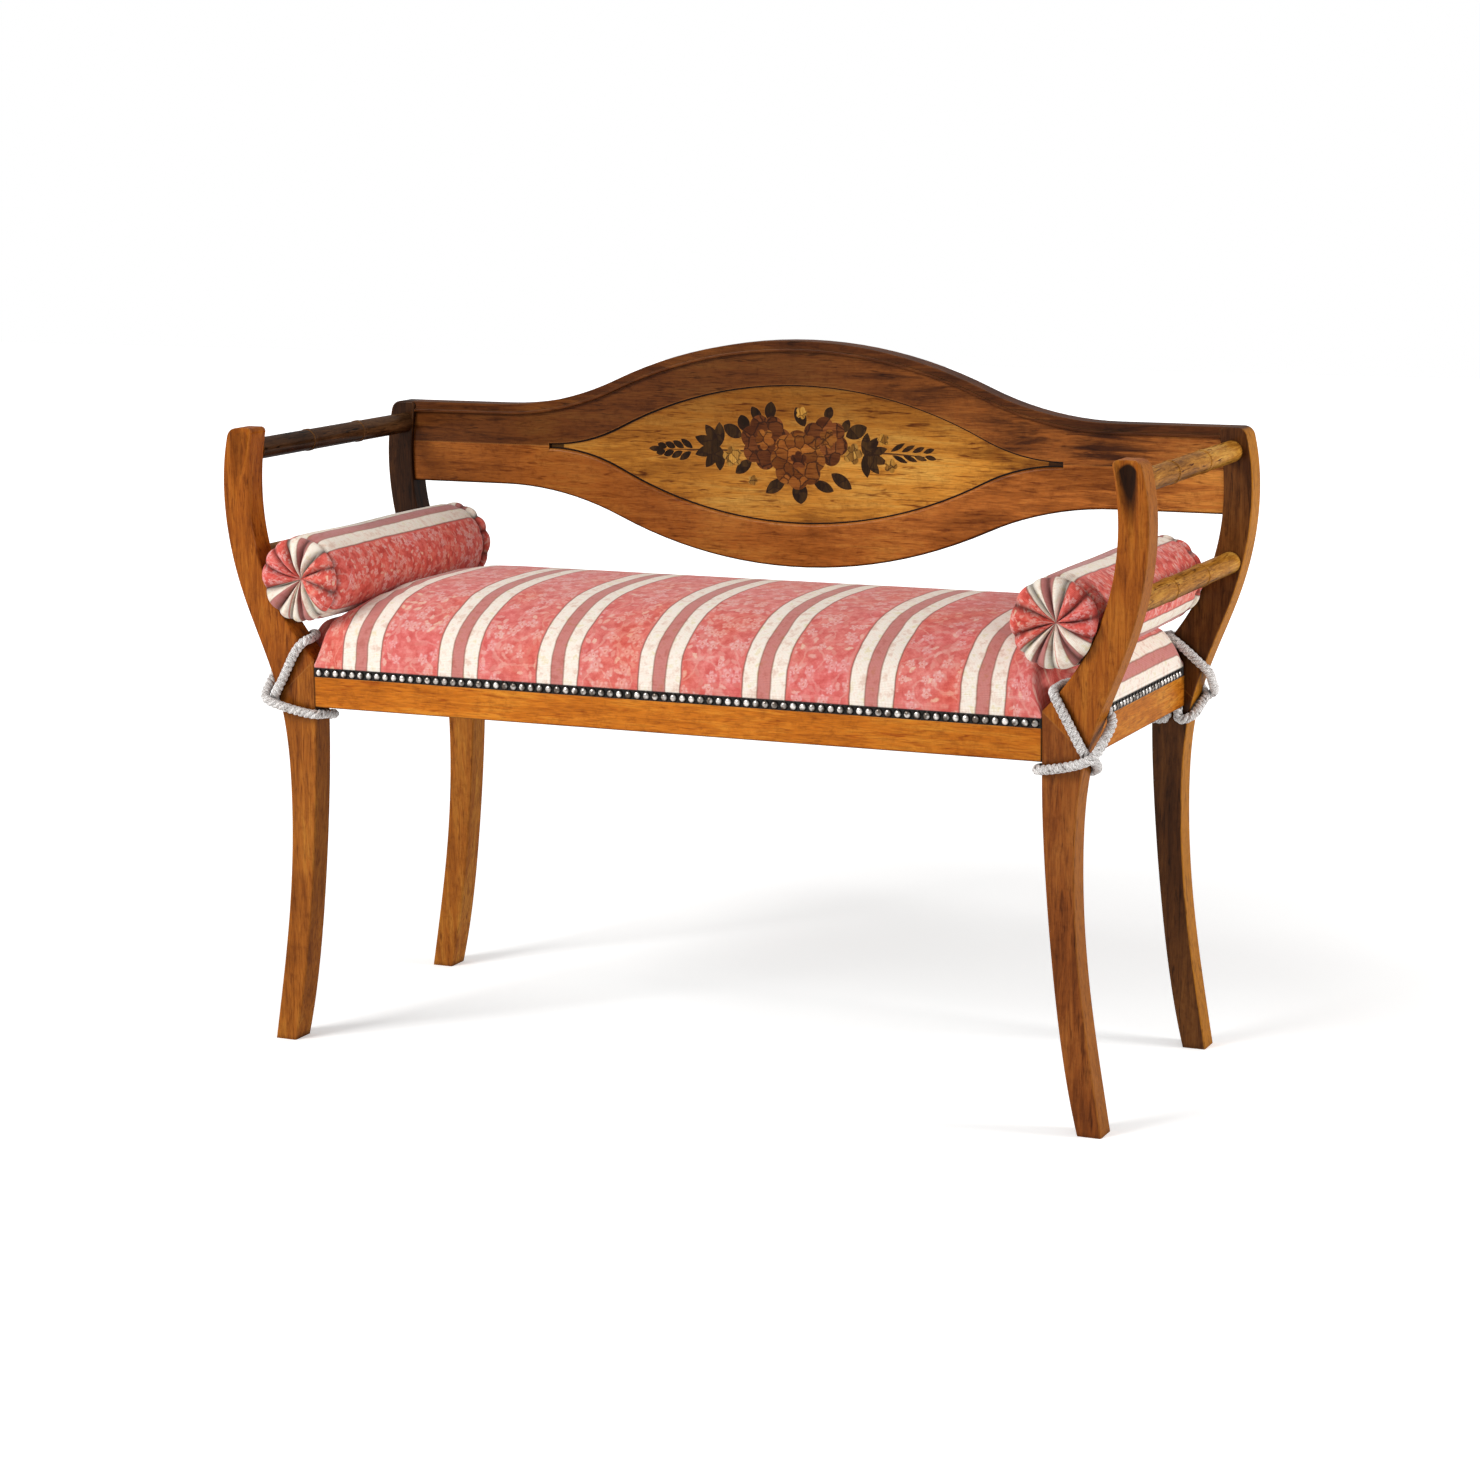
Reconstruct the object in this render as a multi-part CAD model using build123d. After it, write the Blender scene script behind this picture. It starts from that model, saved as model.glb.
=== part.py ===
from build123d import *
import math
import os

# Settee with sabre legs, lashed arm posts, inlaid serpentine back and two loose bolsters.
# Millimetres. X runs along the length, the front faces -Y, Z rises from the floor.

# Frame sizes
half_in = 421.5      # middle of the settee to the inner face of a leg
depth = 385.0        # front face of the front legs to back face of the rear legs
post_t = 31.0        # legs and arm posts, front to back
rail_z = 382.0       # floor to the underside of the seat rails
rail_show = 34.0     # bare height of a rail below the nails
rail_hide = 14.0     # height of a rail under the seat cover
rail_t = 24.0        # thickness of the front and rear rails
side_t = 22.0        # thickness of the side rails
side_step = 36.5     # inner face of a leg to the outer face of a side rail
splay = 66.0         # outer edge of a foot beyond the inner face of the leg block
foot_w = 26.0        # width of a leg at the floor
waist_w = 32.0       # width of a leg at its narrow bend
arm_flare = 108.5    # widest reach of an arm post beyond the inner face of the leg block
arm_w = 32.0         # width of an arm post at its widest reach
scarf_rise = 52.0    # underside of the rails to the inner end of the arm scarf
edge_r = 2.0         # rounding along the edges of legs and posts
tenon_l = 12.0       # stub tenons of the rails
dowel_d = 8.0        # dowels across the scarf and into the back
rod_d = 23.5         # turned rods of the arms
rod_pin = 12.0       # turned pins at the rod ends
scoop_r = 16.0       # round of the hollow in the front of a front post
scoop_d = 6.0        # depth of that hollow at the top
scoop_l = 80.0       # length of that hollow
bolt_d = 6.0         # bolts through the corner braces
rope_d = 11.0        # lashing rope
rope_off = 0.2       # rope skin to wood

# Back sizes
back_mid = 638.5     # height of the line where the two back rails meet
back_rise = 128.0    # half height of the back at its middle
back_end = 47.0      # half height of the back at the posts
back_run = 375.0     # middle of the back to where the serpentine runs level
back_t = 20.0        # thickness of the back rails
cap_h = 12.0         # cap moulding, height
cap_lip = 3.0        # cap moulding proud of the rails
bead_h = 3.6         # bead along the lower edge of the cap moulding
bead_out = 1.6       # bead proud of the cap moulding
pan_rise = 78.5      # half height of the inlaid panel
pan_run = 316.0      # half length of the inlaid panel
pan_tip = 3.0        # half height of the panel at its tips
pan_in = 3.5         # panel set back from the face of the rails
string_w = 1.7       # dark line round the panel
inlay_t = 0.9        # depth of the inlaid veneers

# Seat and bolster sizes
cover_t = 2.0        # seat cover
web_t = 1.5          # webbing
web_w = 50.0         # webbing width
crown_h = 82.0       # crown of the seat over the rail tops
end_h = 10.0         # rise of the seat at its two ends before it turns over
nail_d = 9.6         # nail heads
nail_h = 2.8         # nail heads, height
nail_pitch = 10.5    # nail spacing
bol_r = 50.0         # bolster radius
bol_front = 12.5     # bolster front end ahead of the front legs
bol_gap = 6.0        # bolster rear end to the face of the back
bol_reach = 63.5     # outer side of a bolster beyond the inner face of the legs
rest_gap = 0.5       # clearance where a bolster rests
press_gap = 1.2      # clearance where a bolster is pressed in by the front posts
sew_t = 3.0          # cover and lining of a bolster at that place

# Derived sizes
y_f = -depth / 2
y_leg = y_f + post_t
side_out = half_in + side_step
side_in = side_out - side_t
hem_z = rail_z + rail_show
rail_top = hem_z + rail_hide
side_top = rail_top + web_t
burlap_z = side_top + web_t
foam_z = burlap_z + 1.0
arm_top = back_mid + back_end
arm_h = arm_top - rail_z
scarf_z = rail_z + scarf_rise
shoulder_x = half_in + 0.705 * splay
shoulder_z = rail_z + 9.0
back_y0 = -y_f - post_t / 2 - back_t / 2
back_y1 = back_y0 + back_t
back_x = half_in + 0.73 * arm_flare
pan_y = back_y0 + pan_in
rope_r = rope_d / 2
corners = [("front_right", 1, 1), ("front_left", -1, 1), ("rear_right", 1, -1), ("rear_left", -1, -1)]
os.makedirs("parts", exist_ok=True)


def save(name, shape):
    """Write one node of the settee."""
    export_step(shape, "parts/" + name + ".step")


def brick(x0, x1, y0, y1, z0, z1):
    """Box between two corners."""
    return Pos((x0 + x1) / 2, (y0 + y1) / 2, (z0 + z1) / 2) * Box(x1 - x0, y1 - y0, z1 - z0)


def prism(face, y0, y1):
    """Push a face drawn in x and z from one depth to another."""
    return extrude(Plane.XZ.offset(-y0) * face, amount=y1 - y0, dir=(0, 1, 0))


def corner(shape, sx, sy):
    """Carry a front right piece to the corner with the given signs."""
    out = shape
    if sx < 0:
        out = mirror(out, about=Plane.YZ)
    if sy < 0:
        out = mirror(out, about=Plane.XZ)
    return out


def pin(a, b, d):
    """Round pin from one point to another."""
    run = Vector(*b) - Vector(*a)
    return extrude(Plane(origin=a, z_dir=run) * Circle(d / 2), amount=run.length)


def group(solids):
    """Several separate solids kept as one node."""
    return Compound(children=list(solids))


# Leg and arm post outline: one S curve outside, cut on the diagonal scarf
calf = Vector(half_in + 0.63 * splay, 0.42 * rail_z)
waist = Vector(half_in + 0.53 * splay, 0.745 * rail_z)
elbow = Vector(half_in + 0.834 * arm_flare, rail_z + 0.42 * arm_h)
belly = Vector(half_in + arm_flare, rail_z + 0.775 * arm_h)
tip = Vector(half_in + arm_flare - 9.0, arm_top)
foot = Vector(half_in + splay, 0)
outer = Spline(foot, calf, waist, Vector(shoulder_x, shoulder_z), elbow, belly, tip)
arm_low = Vector(half_in + 0.34 * arm_flare, rail_z + 0.323 * arm_h)
arm_bend = elbow + Vector(0.797 * (arm_flare - arm_w) - 0.834 * arm_flare + 7.5, 0.14 * arm_h)
arm_belly = belly - Vector(arm_w, 0)
arm_tip = tip - Vector(arm_w - 1.5, 0)
inner_arm = Spline(arm_tip, arm_belly, arm_bend, arm_low, Vector(half_in, scarf_z))
block_low = Vector(half_in, rail_z - 12.0)
calf_in = calf - Vector((foot_w + waist_w) / 2 - 1.0, 0)
leg_pts = [block_low, waist - Vector(waist_w, 0), calf_in, foot - Vector(foot_w, 0)]
inner_leg = Spline(*leg_pts, tangents=[(0, -1), (0.25, -1)])
post_line = [outer, Line(tip, arm_tip), inner_arm, Line((half_in, scarf_z), block_low)]
post_line += [inner_leg, Line(leg_pts[-1], foot)]
post_face = make_face(post_line)
scarf_dir = Vector(shoulder_x - half_in, shoulder_z - scarf_z).normalized()
scarf_in = Vector(half_in, scarf_z) - scarf_dir * 60.0
scarf_out = Vector(shoulder_x, shoulder_z) + scarf_dir * 60.0
below = make_face(Polyline(scarf_in, scarf_out, (scarf_out.X, -50), (scarf_in.X, -50), close=True))
leg_face = post_face & below
arm_face = post_face - below
arm_face = fillet(arm_face.vertices().group_by(Axis.Y)[-1].sort_by(Axis.X)[-1], radius=12.0)
arm_face = fillet(arm_face.vertices().group_by(Axis.Y)[-1].sort_by(Axis.X)[0], radius=5.0)


def soften(solid):
    """Round the long edges of a leg or post, not its scarf or its foot."""
    keep = []
    for e in solid.edges():
        c = e.center()
        off = (c.X - half_in) * scarf_dir.Y - (c.Z - scarf_z) * scarf_dir.X
        if abs((e @ 0).Y - (e @ 1).Y) < 0.01 and abs(off) > 0.5 and c.Z > 1.0:
            keep.append(e)
    return fillet(keep, edge_r)


leg_blank = soften(prism(leg_face, y_f, y_leg))
arm_blank = soften(prism(arm_face, y_f, y_leg))

# Seat rails, rebated above the hem for the cover, with stub tenons into the legs
front_rail = brick(-half_in, half_in, y_f, y_f + rail_t, rail_z, hem_z)
front_rail = fillet(front_rail.edges().group_by(Axis.Z)[0].sort_by(Axis.Y)[0], 2.0)
front_rail += brick(-half_in, half_in, y_f + cover_t, y_f + rail_t, hem_z, rail_top)
reach = half_in + tenon_l
front_rail += brick(-reach, reach, y_f + rail_t - 12.0, y_f + rail_t - 2.0, rail_z + 6.0, rail_z + 22.0)
side_rail = brick(side_in, side_out, y_leg, -y_leg, rail_z, hem_z)
side_rail = fillet(side_rail.edges().group_by(Axis.Z)[0].sort_by(Axis.X)[-1], 2.0)
side_rail += brick(side_in, side_out - cover_t, y_leg, -y_leg, hem_z, side_top)
side_tenon = y_leg - tenon_l
side_rail += brick(side_in + 5.0, side_out - 5.0, side_tenon, -side_tenon, rail_z + 6.0, rail_z + 22.0)

# Scarf dowels, square to the scarf
scarf_run = Vector(shoulder_x - half_in, shoulder_z - scarf_z)
scarf_up = Vector(-scarf_dir.Y, scarf_dir.X)
scarf_pins = []
for t in (0.32, 0.68):
    c = Vector(half_in, scarf_z) + scarf_run * t
    a = c - scarf_up * 14.0
    b = c + scarf_up * 14.0
    dowel_y = y_f + 2.5 + dowel_d / 2
    scarf_pins.append(pin((a.X, dowel_y, a.Y), (b.X, dowel_y, b.Y), dowel_d))

# Corner brace across each corner, bolted into the leg
brace_z0 = rail_z + 4.0
brace_z1 = rail_z + 40.0
brace_in = y_f + rail_t
brace_far = half_in - 36.5
brace_s = brace_far - brace_in
brace_pts = [(brace_far - 35.0, brace_in), (brace_far, brace_in)]
brace_pts += [(side_in, side_in - brace_s), (side_in, side_in - brace_s + 35.0)]
brace = extrude(Pos(0, 0, brace_z0) * make_face(Polyline(*brace_pts, close=True)), amount=36.0, dir=(0, 0, 1))
bolt_z = rail_z + 30.0
bolt_sum = half_in + y_leg
bolt_x = (bolt_sum + brace_s - 35.0) / 2
bolt_a = (bolt_x - 4.0, bolt_sum - bolt_x + 4.0, bolt_z)
bolt_b = (half_in + 9.0, y_leg - 9.0, bolt_z)
bolt_shank = pin(bolt_a, bolt_b, bolt_d)
nut_plane = Plane(origin=(bolt_x, bolt_sum - bolt_x, bolt_z), z_dir=(-1, 1, 0))
bolt = bolt_shank + extrude(nut_plane * RegularPolygon(6.0, 6), amount=5.0)
brace = brace - bolt_shank

# Turned rods of the arms
rod_x = half_in + 0.783 * arm_flare
rod_up = arm_top - 25.5
rod_low = rail_z + 0.524 * arm_h


def rod(z):
    """Rod with two turned rings and a pin at each end."""
    half = -y_leg
    body = pin((rod_x, y_leg, z), (rod_x, half, z), rod_d)
    for y in (-half / 3, half / 3):
        ring = pin((rod_x, y - 3.0, z), (rod_x, y + 3.0, z), rod_d + 1.6)
        body += fillet(ring.edges().filter_by(GeomType.CIRCLE), 0.7)
    return body + pin((rod_x, y_leg - 9.0, z), (rod_x, half + 9.0, z), rod_pin)


rods = {"upper": rod(rod_up), "lower": rod(rod_low)}

# Back outline: a crown arc that reverses into level ends


def serpentine(rise, end, run, bend, s):
    """Three arcs from end to end, above the mid line for s = 1 and below it for s = -1."""
    xi = bend * run
    hi = end + (1 - bend) * (rise - end)
    t = math.atan2(rise - hi, xi)
    r2 = (run - xi) / math.sin(2 * t)
    qx = run - r2 * math.sin(t)
    qz = back_mid + s * (end + r2 * (1 - math.cos(t)))
    zi = back_mid + s * hi
    ze = back_mid + s * end
    left = ThreePointArc((-run, ze), (-qx, qz), (-xi, zi))
    top = ThreePointArc((-xi, zi), (0, back_mid + s * rise), (xi, zi))
    right = ThreePointArc((xi, zi), (qx, qz), (run, ze))
    return [left, top, right]


def back_half(s, rise, end):
    """Upper or lower back rail, between the outline and the panel opening."""
    edges = serpentine(rise, end, back_run, 0.6, s) + serpentine(pan_rise, pan_tip, pan_run, 0.707, s)
    ze = back_mid + s * end
    zt = back_mid + s * pan_tip
    for m in (-1, 1):
        edges.append(Line((m * back_run, ze), (m * back_x, ze)))
        edges.append(Line((m * back_x, ze), (m * back_x, back_mid)))
        edges.append(Line((m * back_x, back_mid), (m * pan_run, back_mid)))
        edges.append(Line((m * pan_run, back_mid), (m * pan_run, zt)))
    return make_face(edges)


def almond(inset, tip_h, run):
    """Panel outline, drawn in by an inset at the crown."""
    edges = serpentine(pan_rise - inset, tip_h, run, 0.707, 1)
    edges += serpentine(pan_rise - inset, tip_h, run, 0.707, -1)
    for m in (-1, 1):
        edges.append(Line((m * run, back_mid - tip_h), (m * run, back_mid + tip_h)))
    return make_face(edges)


def rail_edges(solid, z_side):
    """Long edges of a back rail along its outer outline, front and back."""
    out = []
    for e in solid.edges():
        c = e.center()
        far = (c.Z - back_mid) * z_side > back_end - cap_h - 1.0
        if far and abs((e @ 0).Y - (e @ 1).Y) < 0.01 and abs((e @ 0).X - (e @ 1).X) > 1.0:
            out.append(e)
    return out


back_top = prism(back_half(1, back_rise - cap_h, back_end - cap_h), back_y0, back_y1)
back_low = prism(back_half(-1, back_rise, back_end), back_y0, back_y1)
low_run = [e for e in rail_edges(back_low, -1) if abs(e.center().Z - back_mid) > back_end - 1.0]
back_low = fillet(low_run, 3.0)


def cap_band(hi, lo, y0, y1):
    """Band that follows the top outline of the back, between two depths below it."""
    edges = serpentine(back_rise - hi, back_end - hi, back_run, 0.6, 1)
    edges += serpentine(back_rise - lo, back_end - lo, back_run, 0.6, 1)
    z_hi = back_mid + back_end - hi
    z_lo = back_mid + back_end - lo
    for m in (-1, 1):
        edges.append(Line((m * back_run, z_hi), (m * back_x, z_hi)))
        edges.append(Line((m * back_x, z_hi), (m * back_x, z_lo)))
        edges.append(Line((m * back_x, z_lo), (m * back_run, z_lo)))
    return prism(make_face(edges), y0, y1)


cap_face = back_y0 - cap_lip
back_cap = cap_band(0, cap_h, cap_face, back_y1 + cap_lip)
bead = cap_band(cap_h - bead_h, cap_h, cap_face - bead_out, back_y0)
bead_edges = [e for e in bead.edges() if abs((e @ 0).Y - cap_face + bead_out) < 0.01]
bead_edges = [e for e in bead_edges if abs((e @ 0).X - (e @ 1).X) > 1.0 and abs((e @ 1).Y - (e @ 0).Y) < 0.01]
bead = fillet(bead_edges, 1.2)
back_cap += bead
panel = prism(almond(0, pan_tip, pan_run), pan_y, back_y1 - pan_in)
string_in = almond(string_w, pan_tip - string_w, pan_run - 1.2 * string_w)
string_face = almond(0, pan_tip, pan_run) - string_in
stringing = prism(string_face, pan_y, pan_y + inlay_t)

# Inlaid spray: crescents for stems, pointed leaves, scalloped roses and small blossoms


def leaf(x, z, turn, length, width):
    """Pointed leaf from a stem point, turned by an angle from level."""
    tip_p = (length, 0)
    up = ThreePointArc((0, 0), (length / 2, width / 2), tip_p)
    down = ThreePointArc((0, 0), (length / 2, -width / 2), tip_p)
    return Pos(x, back_mid + z) * Rot(0, 0, turn) * make_face([up, down])


def stem(x, z, turn, length, bow):
    """Thin crescent stem."""
    up = ThreePointArc((0, 0), (length / 2, bow + 1.0), (length, 0))
    down = ThreePointArc((0, 0), (length / 2, bow - 1.0), (length, 0))
    return Pos(x, back_mid + z) * Rot(0, 0, turn) * make_face([up, down])


def flower(x, z, r, petals, turn):
    """Ring of round petals about a centre."""
    out = Pos(x, back_mid + z) * Circle(0.62 * r)
    for i in range(petals):
        a = math.radians(turn + 360.0 * i / petals)
        out += Pos(x + 0.62 * r * math.cos(a), back_mid + z + 0.62 * r * math.sin(a)) * Circle(0.4 * r)
    return out


k = pan_rise / 78.5
core = flower(0, -6 * k, 10 * k, 5, 20)
roses = flower(-40 * k, 13 * k, 31 * k, 7, 10) + flower(32 * k, 15 * k, 28 * k, 7, 40)
hearts = flower(-1 * k, -6 * k, 33 * k, 8, 0) - core
hearts += flower(-42 * k, 16 * k, 12 * k, 5, 50) + flower(36 * k, 19 * k, 11 * k, 5, 0)
blossoms = flower(66 * k, 3 * k, 12 * k, 5, 0) + flower(-82 * k, -5 * k, 12 * k, 5, 30)
blossoms += flower(112 * k, -9 * k, 8 * k, 5, 0) + flower(-57 * k, -31 * k, 6 * k, 5, 0)
blossoms += flower(103 * k, 20 * k, 7 * k, 5, 30) + flower(4 * k, 47 * k, 7 * k, 5, 0)
leaves = leaf(-36 * k, 38 * k, 82, 21 * k, 14 * k) + leaf(-46 * k, 34 * k, 122, 22 * k, 12 * k)
leaves += leaf(-64 * k, 24 * k, 112, 20 * k, 15 * k) + leaf(-70 * k, 18 * k, 152, 26 * k, 15 * k)
leaves += leaf(8 * k, 32 * k, 118, 24 * k, 14 * k) + leaf(34 * k, 40 * k, 66, 16 * k, 11 * k)
leaves += leaf(58 * k, 22 * k, 24, 28 * k, 16 * k) + leaf(54 * k, 26 * k, 62, 17 * k, 10 * k)
leaves += leaf(0, -30 * k, -84, 26 * k, 19 * k) + leaf(-16 * k, -28 * k, -146, 30 * k, 14 * k)
leaves += leaf(18 * k, -30 * k, -22, 27 * k, 12 * k) + leaf(40 * k, -20 * k, -34, 30 * k, 14 * k)
leaves += leaf(-58 * k, -8 * k, -142, 26 * k, 13 * k) + leaf(-30 * k, -30 * k, -112, 14 * k, 9 * k)
for i in range(6):
    fan = 36 * (i - 2.5)
    leaves += leaf(-98 * k, 6 * k, 180 + fan, (34 - 0.07 * abs(fan)) * k, 13 * k)
    leaves += leaf(80 * k, 2 * k, 0.9 * fan, (30 - 0.05 * abs(fan)) * k, 11 * k)
for i in range(4):
    leaves += leaf((-132 - 11 * i) * k, 3 * k, 146 + 6 * i, (18 - 2 * i) * k, 7.5 * k)
    leaves += leaf((-134 - 11 * i) * k, -1 * k, 214 - 6 * i, (18 - 2 * i) * k, 7.5 * k)
    leaves += leaf((112 + 13 * i) * k, 7 * k, 30 - 4 * i, (20 - 2 * i) * k, 5.5 * k)
    leaves += leaf((114 + 13 * i) * k, 3 * k, -24 + 4 * i, (20 - 2 * i) * k, 5.5 * k)
leaves += leaf(-170 * k, 1 * k, 180, 18 * k, 6.5 * k)
stems = stem(-6 * k, 0, 0, 182 * k, 5 * k) + stem(6 * k, 0, 180, 182 * k, -2 * k)
roses -= hearts
roses += core
blossoms -= roses
blossoms -= hearts
leaves -= roses
leaves -= hearts
leaves -= blossoms
stems -= leaves
stems -= roses
stems -= hearts
stems -= blossoms
inlays = {"stems": stems, "leaves": leaves, "roses": roses, "rose_hearts": hearts, "blossoms": blossoms}
inlay_solids = {}
for name in inlays:
    inlay_solids[name] = [prism(f, pan_y, pan_y + inlay_t) for f in inlays[name].faces()]
    for s in inlay_solids[name]:
        panel -= s
panel -= stringing

# Dowels from the back rails into the rear posts
post_in = half_in + arm_flare - arm_w
back_pins = []
for m in (-1, 1):
    for dz in (-0.55, 0.42):
        z = back_mid + dz * back_end
        y = (back_y0 + back_y1) / 2
        back_pins.append(pin((m * (post_in - 16.0), y, z), (m * (post_in + 14.0), y, z), dowel_d))

# Posts and legs with their sockets
legs = {}
arms = {}
for name, sx, sy in corners:
    leg = leg_blank - front_rail - side_rail - bolt_shank
    arm = arm_blank - rods["upper"] - rods["lower"]
    for p in scarf_pins:
        leg -= p
        arm -= p
    if sy > 0:
        sink = Vector((tip.X + arm_tip.X) / 2, y_f - scoop_r + scoop_d, arm_top)
        fade = Vector(belly.X - arm_w / 2, y_f - scoop_r, arm_top - scoop_l)
        ahead = sink + (sink - fade) * 0.2
        arm -= pin(tuple(ahead), tuple(fade + (fade - sink) * 0.2), 2 * scoop_r)
    legs[name] = corner(leg, sx, sy)
    arms[name] = corner(arm, sx, sy)
for name in ("rear_right", "rear_left"):
    for p in back_pins:
        arms[name] -= p
for sx in (1, -1):
    rear = corner(arm_blank, sx, -1)
    back_top -= rear
    back_low -= rear
    back_cap -= rear
for p in back_pins:
    back_top -= p
    back_low -= p

for name in legs:
    save("leg_" + name, legs[name])
    save("arm_" + name, arms[name])
save("arm_scarf_dowels", group([corner(p, sx, sy) for p in scarf_pins for n, sx, sy in corners]))
save("seat_rail_front", front_rail)
save("seat_rail_rear", mirror(front_rail, about=Plane.XZ))
save("seat_rail_right", side_rail)
save("seat_rail_left", mirror(side_rail, about=Plane.YZ))
save("corner_braces", group([corner(brace, sx, sy) for n, sx, sy in corners]))
save("corner_bolts", group([corner(bolt, sx, sy) for n, sx, sy in corners]))
for name in rods:
    save("arm_rod_" + name + "_right", rods[name])
    save("arm_rod_" + name + "_left", mirror(rods[name], about=Plane.YZ))
save("back_rail_top", back_top)
save("back_rail_bottom", back_low)
save("back_cap_moulding", back_cap)
save("back_panel", panel)
save("back_stringing", stringing)
save("back_dowels", group(back_pins))
for name in inlay_solids:
    save("inlay_" + name, group(inlay_solids[name]))

# Seat: domed loft, highest in the middle and drawn down to the four rails
seat_top = rail_top + 0.5


def seat_rise(x, a, loss):
    """Height of the seat over its turn line on the long middle line."""
    return end_h + (crown_h - 0.5 - end_h) * (1 - abs(x / a) ** 7) - loss


def dome(a, b, loss):
    """Seat body of the given half length and half depth."""
    cuts = []
    for f in (-1, -0.94, -0.87, -0.78, -0.6, -0.35, 0, 0.35, 0.6, 0.78, 0.87, 0.94, 1):
        h = seat_rise(f * a, a, loss)
        lift = 0.79 * h
        roll = 0.46 * h
        p0 = (b, seat_top)
        p1 = (0.831 * b, seat_top + roll)
        p2 = (0.6 * b, seat_top + lift)
        q2 = (-0.6 * b, seat_top + lift)
        q1 = (-0.831 * b, seat_top + roll)
        q0 = (-b, seat_top)
        line = [Line((b, hem_z), p0), ThreePointArc(p0, p1, p2)]
        line += [ThreePointArc(p2, (0, seat_top + h), q2), ThreePointArc(q2, q1, q0)]
        line += [Line(q0, (-b, hem_z)), Line((-b, hem_z), (b, hem_z))]
        spot = Plane(origin=(f * a, 0, 0), x_dir=(0, 1, 0), z_dir=(1, 0, 0))
        cuts.append(spot * make_face(line))
    return loft(cuts)


room = rope_d + 1.0
high = arm_top
notches = []
for name, sx, sy in corners:
    notches.append(corner(brick(half_in, side_out + 5.0, y_f - 5.0, y_leg, 0, high), sx, sy))
    above = brick(half_in - room, side_out + 5.0, y_f - 5.0, y_leg + room + 0.5, rail_top - 0.5, high)
    notches.append(corner(above, sx, sy))
seat_outer = dome(side_out, -y_f, 0)
seat_inner = dome(side_out - cover_t, -y_f - cover_t, cover_t)
seat_cover = seat_outer - seat_inner
for n in notches:
    seat_cover -= n
    seat_inner -= n
seat_foam = seat_inner & brick(-side_out, side_out, y_f, -y_f, foam_z, high)
burlap = brick(-side_out + 9.0, side_out - 9.0, y_f + 8.0, -y_f - 8.0, burlap_z, foam_z)
for n in notches:
    burlap -= n
web_long = []
for y in (-0.47, 0, 0.47):
    c = y * -y_f
    web_long.append(brick(-side_out + 3.0, side_out - 3.0, c - web_w / 2, c + web_w / 2, side_top, burlap_z))
web_cross = []
for i in range(-3, 4):
    c = i * 0.261 * half_in
    web_cross.append(brick(c - web_w / 2, c + web_w / 2, y_f + 3.5, -y_f - 3.5, rail_top, side_top))
dust = brick(-side_out + 8.0, side_out - 8.0, y_f + 8.0, -y_f - 8.0, rail_z - 1.2, rail_z)
for name, sx, sy in corners:
    dust -= corner(brick(half_in - 18.0, side_out, y_f, y_leg + 22.0, 0, high), sx, sy)
save("seat_cover", seat_cover)
save("seat_foam", seat_foam)
save("seat_burlap", burlap)
save("seat_webbing_long", group(web_long))
save("seat_webbing_cross", group(web_cross))
save("seat_dust_cover", dust)

# Nail rows: domed heads on the hem of the cover
nail_z = hem_z + 5.0
dome_r = (nail_d * nail_d / 4 + nail_h * nail_h) / (2 * nail_h)
nail_flat = 0.5
nail_side = math.sqrt(dome_r * dome_r - (0.3 * nail_d) ** 2) + nail_h - dome_r
nail_arc = ThreePointArc((nail_d / 2, 0), (0.3 * nail_d, nail_side), (nail_flat, nail_h))
nail_top = Line((nail_flat, nail_h), (0, nail_h))
nail_face = make_face([Line((0, 0), (nail_d / 2, 0)), nail_arc, nail_top, Line((0, nail_h), (0, 0))])
nail = revolve(Plane.XZ * nail_face, axis=Axis.Z)


def row(half_run):
    """Evenly spaced positions within a half length."""
    n = int(2 * half_run / nail_pitch)
    return [(i - n / 2) * nail_pitch for i in range(n + 1)]


front_nails = [Pos(x, y_f, nail_z) * Rot(90, 0, 0) * nail for x in row(half_in - 6.0)]
side_nails = [Pos(side_out, y, nail_z) * Rot(0, 90, 0) * nail for y in row(-y_leg - room - 6.0)]
for side, sx in (("right", 1), ("left", -1)):
    half_row = [n for n in front_nails if (n.center().X >= 0) == (sx > 0)]
    save("nails_front_" + side, group(half_row))
    save("nails_rear_" + side, group([mirror(n, about=Plane.XZ) for n in half_row]))
save("nails_right", group(side_nails))
save("nails_left", group([mirror(n, about=Plane.YZ) for n in side_nails]))

# Lashings: one rope each, a figure eight that crosses on the outer corner of the post
off = rope_r + rope_off
lay_f = y_f - off
lay_b = y_leg + off
low_z = rail_z - rope_d - 5.0
end_out = side_out - rope_r + 0.5
end_in = end_out - rope_d - 0.7
lay_in = half_in - off
side_line = [outer @ (i / 2000) for i in range(2001)]
leg_side = min(side_line, key=lambda p: abs(p.Y - low_z)).X
lay_out = leg_side + off
lay_cross = shoulder_x + off
step = rope_d + 0.6
out_step = step / math.sqrt(2) + 5.5
slant = arm_low - Vector(half_in, scarf_z)
in_low = scarf_z + 3.0
in_high = scarf_z + 26.0
slant_off = off * slant.length / slant.Y
in_low_x = half_in + (in_low - scarf_z) * slant.X / slant.Y - slant_off
in_high_x = half_in + (in_high - scarf_z) * slant.X / slant.Y - slant_off
top_out = shoulder_x + (scarf_z - 10.0 - shoulder_z) * 0.36 + off
route = [(end_out, lay_b, rail_z), (end_out, lay_b, low_z), (lay_out, lay_b, low_z)]
route += [(lay_cross, lay_f, shoulder_z), (in_low_x, lay_f, in_low), (in_high_x, lay_b, in_high)]
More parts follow.
